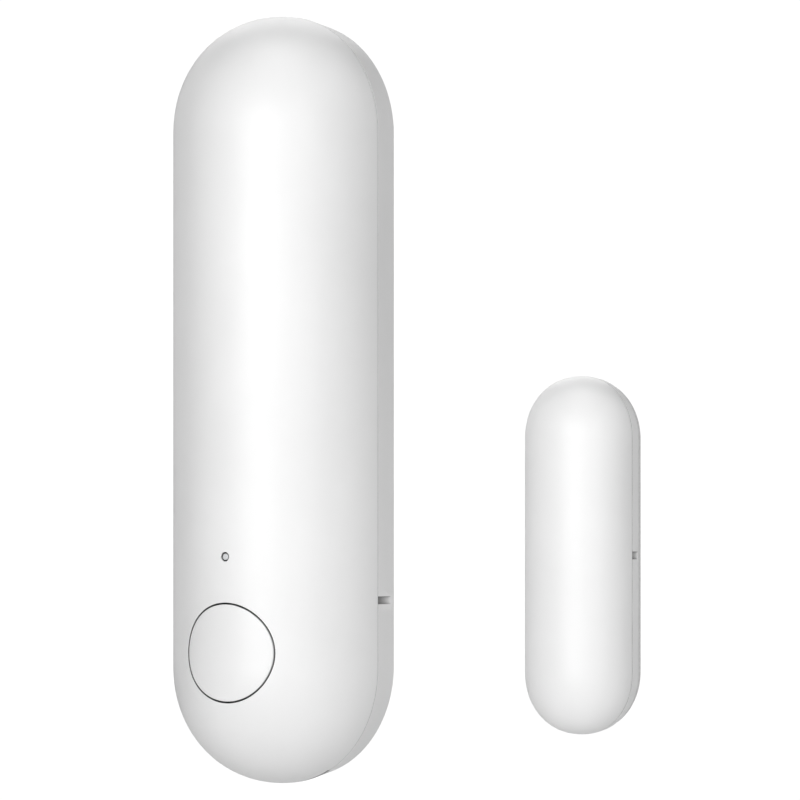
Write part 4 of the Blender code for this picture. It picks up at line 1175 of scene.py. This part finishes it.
def cell_sleeve(x, depth, can):
    """Shrunk printed sleeve, drawn in over both ends of the can."""
    low, high = corners("battery_sleeve")
    outside, bottom, top = (high[0] - low[0]) / 2, low[2], high[2]
    green, dark = (0.02, 0.2, 0.1), (0.012, 0.1, 0.055)
    pale, copper = (0.75, 0.75, 0.74), (0.62, 0.36, 0.14)
    wrap = banded("cell_wrap", "Z", [
        (bottom, green), (top - 15.0 * MM, dark), (top - 14.2 * MM, green), (top - 10.5 * MM, pale),
        (top - 10.1 * MM, copper), (top, copper),
    ], 0.3, 0.5)
    over, film, bend = 0.18 * MM, 0.06 * MM, CELL_BEND
    inner = can - 0.5 * MM
    profile = [(inner, bottom - over + 0.02 * MM)] + arc(outside - bend, bottom + bend - over, bend, -90, 0)
    profile += arc(outside - bend, top - bend + over, bend, 0, 90) + [(inner, top + over)]
    hollow = [
        (r - film if r > inner else r, h - film if h > 0 else h + film) for r, h in reversed(profile)
    ]
    bm = bmesh.new()
    add_turned(bm, profile + hollow, x, depth, 0.0, False, 96)
    piece_from(bm, "cell_wrap", wrap, "cell", "battery_sleeve")


def cell():
    """Round cell: a can, a seal ring and a printed sleeve."""
    low, high = corners("battery_can")
    x, depth, _ = middle_of("battery_can")
    can, nub = (high[0] - low[0]) / 2, 1.9 * MM
    cell_can(x, depth, can, nub)
    ring_low, ring_high = corners("battery_insulator_ring")
    inner, outer, foot = nub + 0.08 * MM, can - CAN_LIP, ring_low[2] + 0.02 * MM
    ring = [(inner, foot), (outer, foot), (outer, ring_high[2]), (inner, ring_high[2] - 0.1 * MM)]
    bm = bmesh.new()
    add_turned(bm, ring, x, depth, 0.0, False, 72)
    piece_from(bm, "cell_seal_ring", seal_nylon, "cell", "battery_insulator_ring")
    cell_sleeve(x, depth, can)


def holder():
    """Moulded cradle with lowered side walls, and an end wall behind each contact."""
    low, high = corners("battery_holder")
    x, depth, _ = middle_of("battery_can")
    half, wall, end_half = (high[0] - low[0]) / 2, 1.1 * MM, 4.2 * MM
    side_front, end_front = 9.5 * MM, high[1]
    front = 2 * end_front
    size = (low, (high[0], side_front, high[2]))
    piece = block_piece("cell_holder", holder_nylon, "battery_holder", *size, 0.35 * MM, 3)
    ends, in_from_end = bmesh.new(), 0.1 * MM
    for start, stop in ((high[2] - wall, high[2] - in_from_end), (low[2] + in_from_end, low[2] + wall)):
        add_block(ends, (-end_half, low[1] + MM, start), (end_half, end_front, stop), 0.3 * MM, 3)
    carve(piece, [loose_object(ends)], "UNION")
    inner_low, inner_high = low[2] + wall, high[2] - wall
    space, space_radius = bmesh.new(), 5.45 * MM
    add_turned(space, disc(space_radius, inner_low, inner_high), x, depth, 0.0, False, 96)
    tools = [loose_object(space)]
    slot_half, room = 3.6 * MM, 0.6 * MM
    for start, stop in ((inner_high - room, inner_high), (inner_low, inner_low + room)):
        tools.append(cutter((-slot_half, 0.0, start), (slot_half, front, stop)))
    finger, finger_depth, z_middle = 7.0 * MM, 8.2 * MM, (inner_low + inner_high) / 2
    for side in (1, -1):
        reach = sorted((side * (half - 1.6 * MM), side * (half + MM)))
        room_low = (reach[0], finger_depth, z_middle - finger)
        tools.append(cutter(room_low, (reach[1], front, z_middle + finger)))
    carve(piece, tools)


def contacts():
    """Sheet contacts with a pressed dimple at the plus end and a conical spring at the other."""
    depth = middle_of("battery_can")[1]
    low, high = corners("battery_positive_contact")
    sheet_low = high[2] - 0.3 * MM
    bm = bmesh.new()
    add_block(bm, (low[0], low[1], sheet_low), high, 0.12 * MM, 3)
    bend, crown = 0.15 * MM, 0.95 * MM
    dimple = [(0.0, low[2]), (crown, low[2])] + arc(crown, low[2] + bend, bend, -90, -20)
    dimple += [(1.75 * MM, sheet_low + 0.05 * MM), (0.0, sheet_low + 0.1 * MM)]
    add_turned(bm, dimple, 0.0, depth, 0.0, False)
    piece_from(bm, "plus_contact", spring_steel, "wall_unit", "battery_positive_contact")
    node = "battery_negative_contact"
    block_piece("minus_contact", spring_steel, node, *corners(node), 0.12 * MM, 3)
    low, high = corners("battery_negative_spring")
    wire, turns, per_turn, wide, taper = 0.25 * MM, 3.5, 32, 3.0 * MM, 1.2 * MM
    start, end = low[2] + wire, high[2] - wire
    points = []
    for i in range(round(turns * per_turn) + 1):
        share = i / (turns * per_turn)
        angle, radius = 2 * math.pi * turns * share, wide - taper * share
        across, forward = radius * math.cos(angle), radius * math.sin(angle)
        points.append((across, -depth + forward, start + (end - start) * share))
    bm = bmesh.new()
    add_wire(bm, points, wire)
    piece_from(bm, "minus_spring", spring_steel, "wall_unit", "battery_negative_spring")


# ---- stage, light and camera


def stage():
    """Pale floor that fades out towards its edge, so it meets the white surroundings softly."""
    n = new_material("floor_paint")
    tone = n.two_tone(n.noise(6.0), (0.88, 0.88, 0.88), (0.9, 0.9, 0.9))
    away = n.add("VectorMath", {0: n.coordinates()}, operation="LENGTH").outputs["Value"]
    fade = {
        "Value": away, "From Min": FLOOR_FADE_START, "From Max": FLOOR_RADIUS, "To Min": 1.0,
        "To Max": 0.0,
    }
    alpha = n.add("MapRange", fade, interpolation_type="SMOOTHSTEP").outputs["Result"]
    level = CAD_BOUNDS[0].z - FLOOR_DROP
    bpy.ops.mesh.primitive_circle_add(
        vertices=64, radius=FLOOR_RADIUS, fill_type="NGON", location=(0.0, 0.0, level)
    )
    floor = bpy.context.object
    floor.name = "floor"
    floor.data.materials.append(n.finish(tone, 0.7, Alpha=alpha))


def point_at_object(made, towards, distance):
    """Place a light or a camera in a direction from the object, facing it."""
    made.location = AIM + towards * distance
    made.rotation_euler = towards.to_track_quat("Z", "Y").to_euler()
    bpy.context.scene.collection.objects.link(made)


def softbox(name, azimuth, elevation, size, power):
    """Square area light, from a direction given as the camera's is."""
    a, e = math.radians(azimuth), math.radians(elevation)
    towards = Vector((math.sin(a) * math.cos(e), -math.cos(a) * math.cos(e), math.sin(e)))
    lamp = bpy.data.lights.new(name, "AREA")
    lamp.shape = "SQUARE"
    lamp.size = size
    lamp.energy = power
    point_at_object(bpy.data.objects.new(name, lamp), towards, LIGHT_DISTANCE)


def surroundings():
    """White to the camera, and a faint even grey as light on the object."""
    world = bpy.data.worlds.new("studio")
    bpy.context.scene.world = world
    n = Nodes(world)
    soft = n.tree.nodes["Background"]
    n.feed(soft, {"Color": opaque([AMBIENT_LEVEL] * 3)})
    white = n.add("Background", {"Color": opaque([1.0] * 3), "Strength": BACKDROP_LEVEL})
    seen = n.add("LightPath").outputs["Is Camera Ray"]
    mix = n.add("MixShader", {"Fac": seen, 1: soft.outputs[0], 2: white.outputs[0]})
    n.feed(n.tree.nodes["World Output"], {"Surface": mix.outputs["Shader"]})


def camera():
    a = math.radians(CAMERA_AZIMUTH)
    towards = Vector((math.sin(a), -math.cos(a), 0.0))
    data = bpy.data.cameras.new("camera")
    data.sensor_width = 36.0
    data.lens = data.sensor_width * CAMERA_DISTANCE / FRAME_WIDTH
    data.clip_start, data.clip_end = 0.1, 20.0
    made = bpy.data.objects.new("camera", data)
    point_at_object(made, towards, CAMERA_DISTANCE)
    bpy.context.scene.camera = made


bpy.context.scene.view_settings.view_transform = "Standard"
camera()
surroundings()
stage()
for light in SOFTBOXES:
    softbox(*light)

main_cover()
light_pipe()
button()
main_tray()
magnet_housing()
adhesive_pad(MAIN, "wall_pad", "main_adhesive_pad", "wall_unit", 1.5 * MM)
adhesive_pad(MAGNET, "magnet_pad", "magnet_adhesive_pad", "magnet_unit", 0.3 * MM)
circuit_board()
landing_pads()
solder_joints()
screws()
chips()
radio_module()
reed_switch()
tact_switch()
cell()
holder()
contacts()
dress("bar_magnet", ferrite)
dress("magnet_foam_strip", soft_foam)
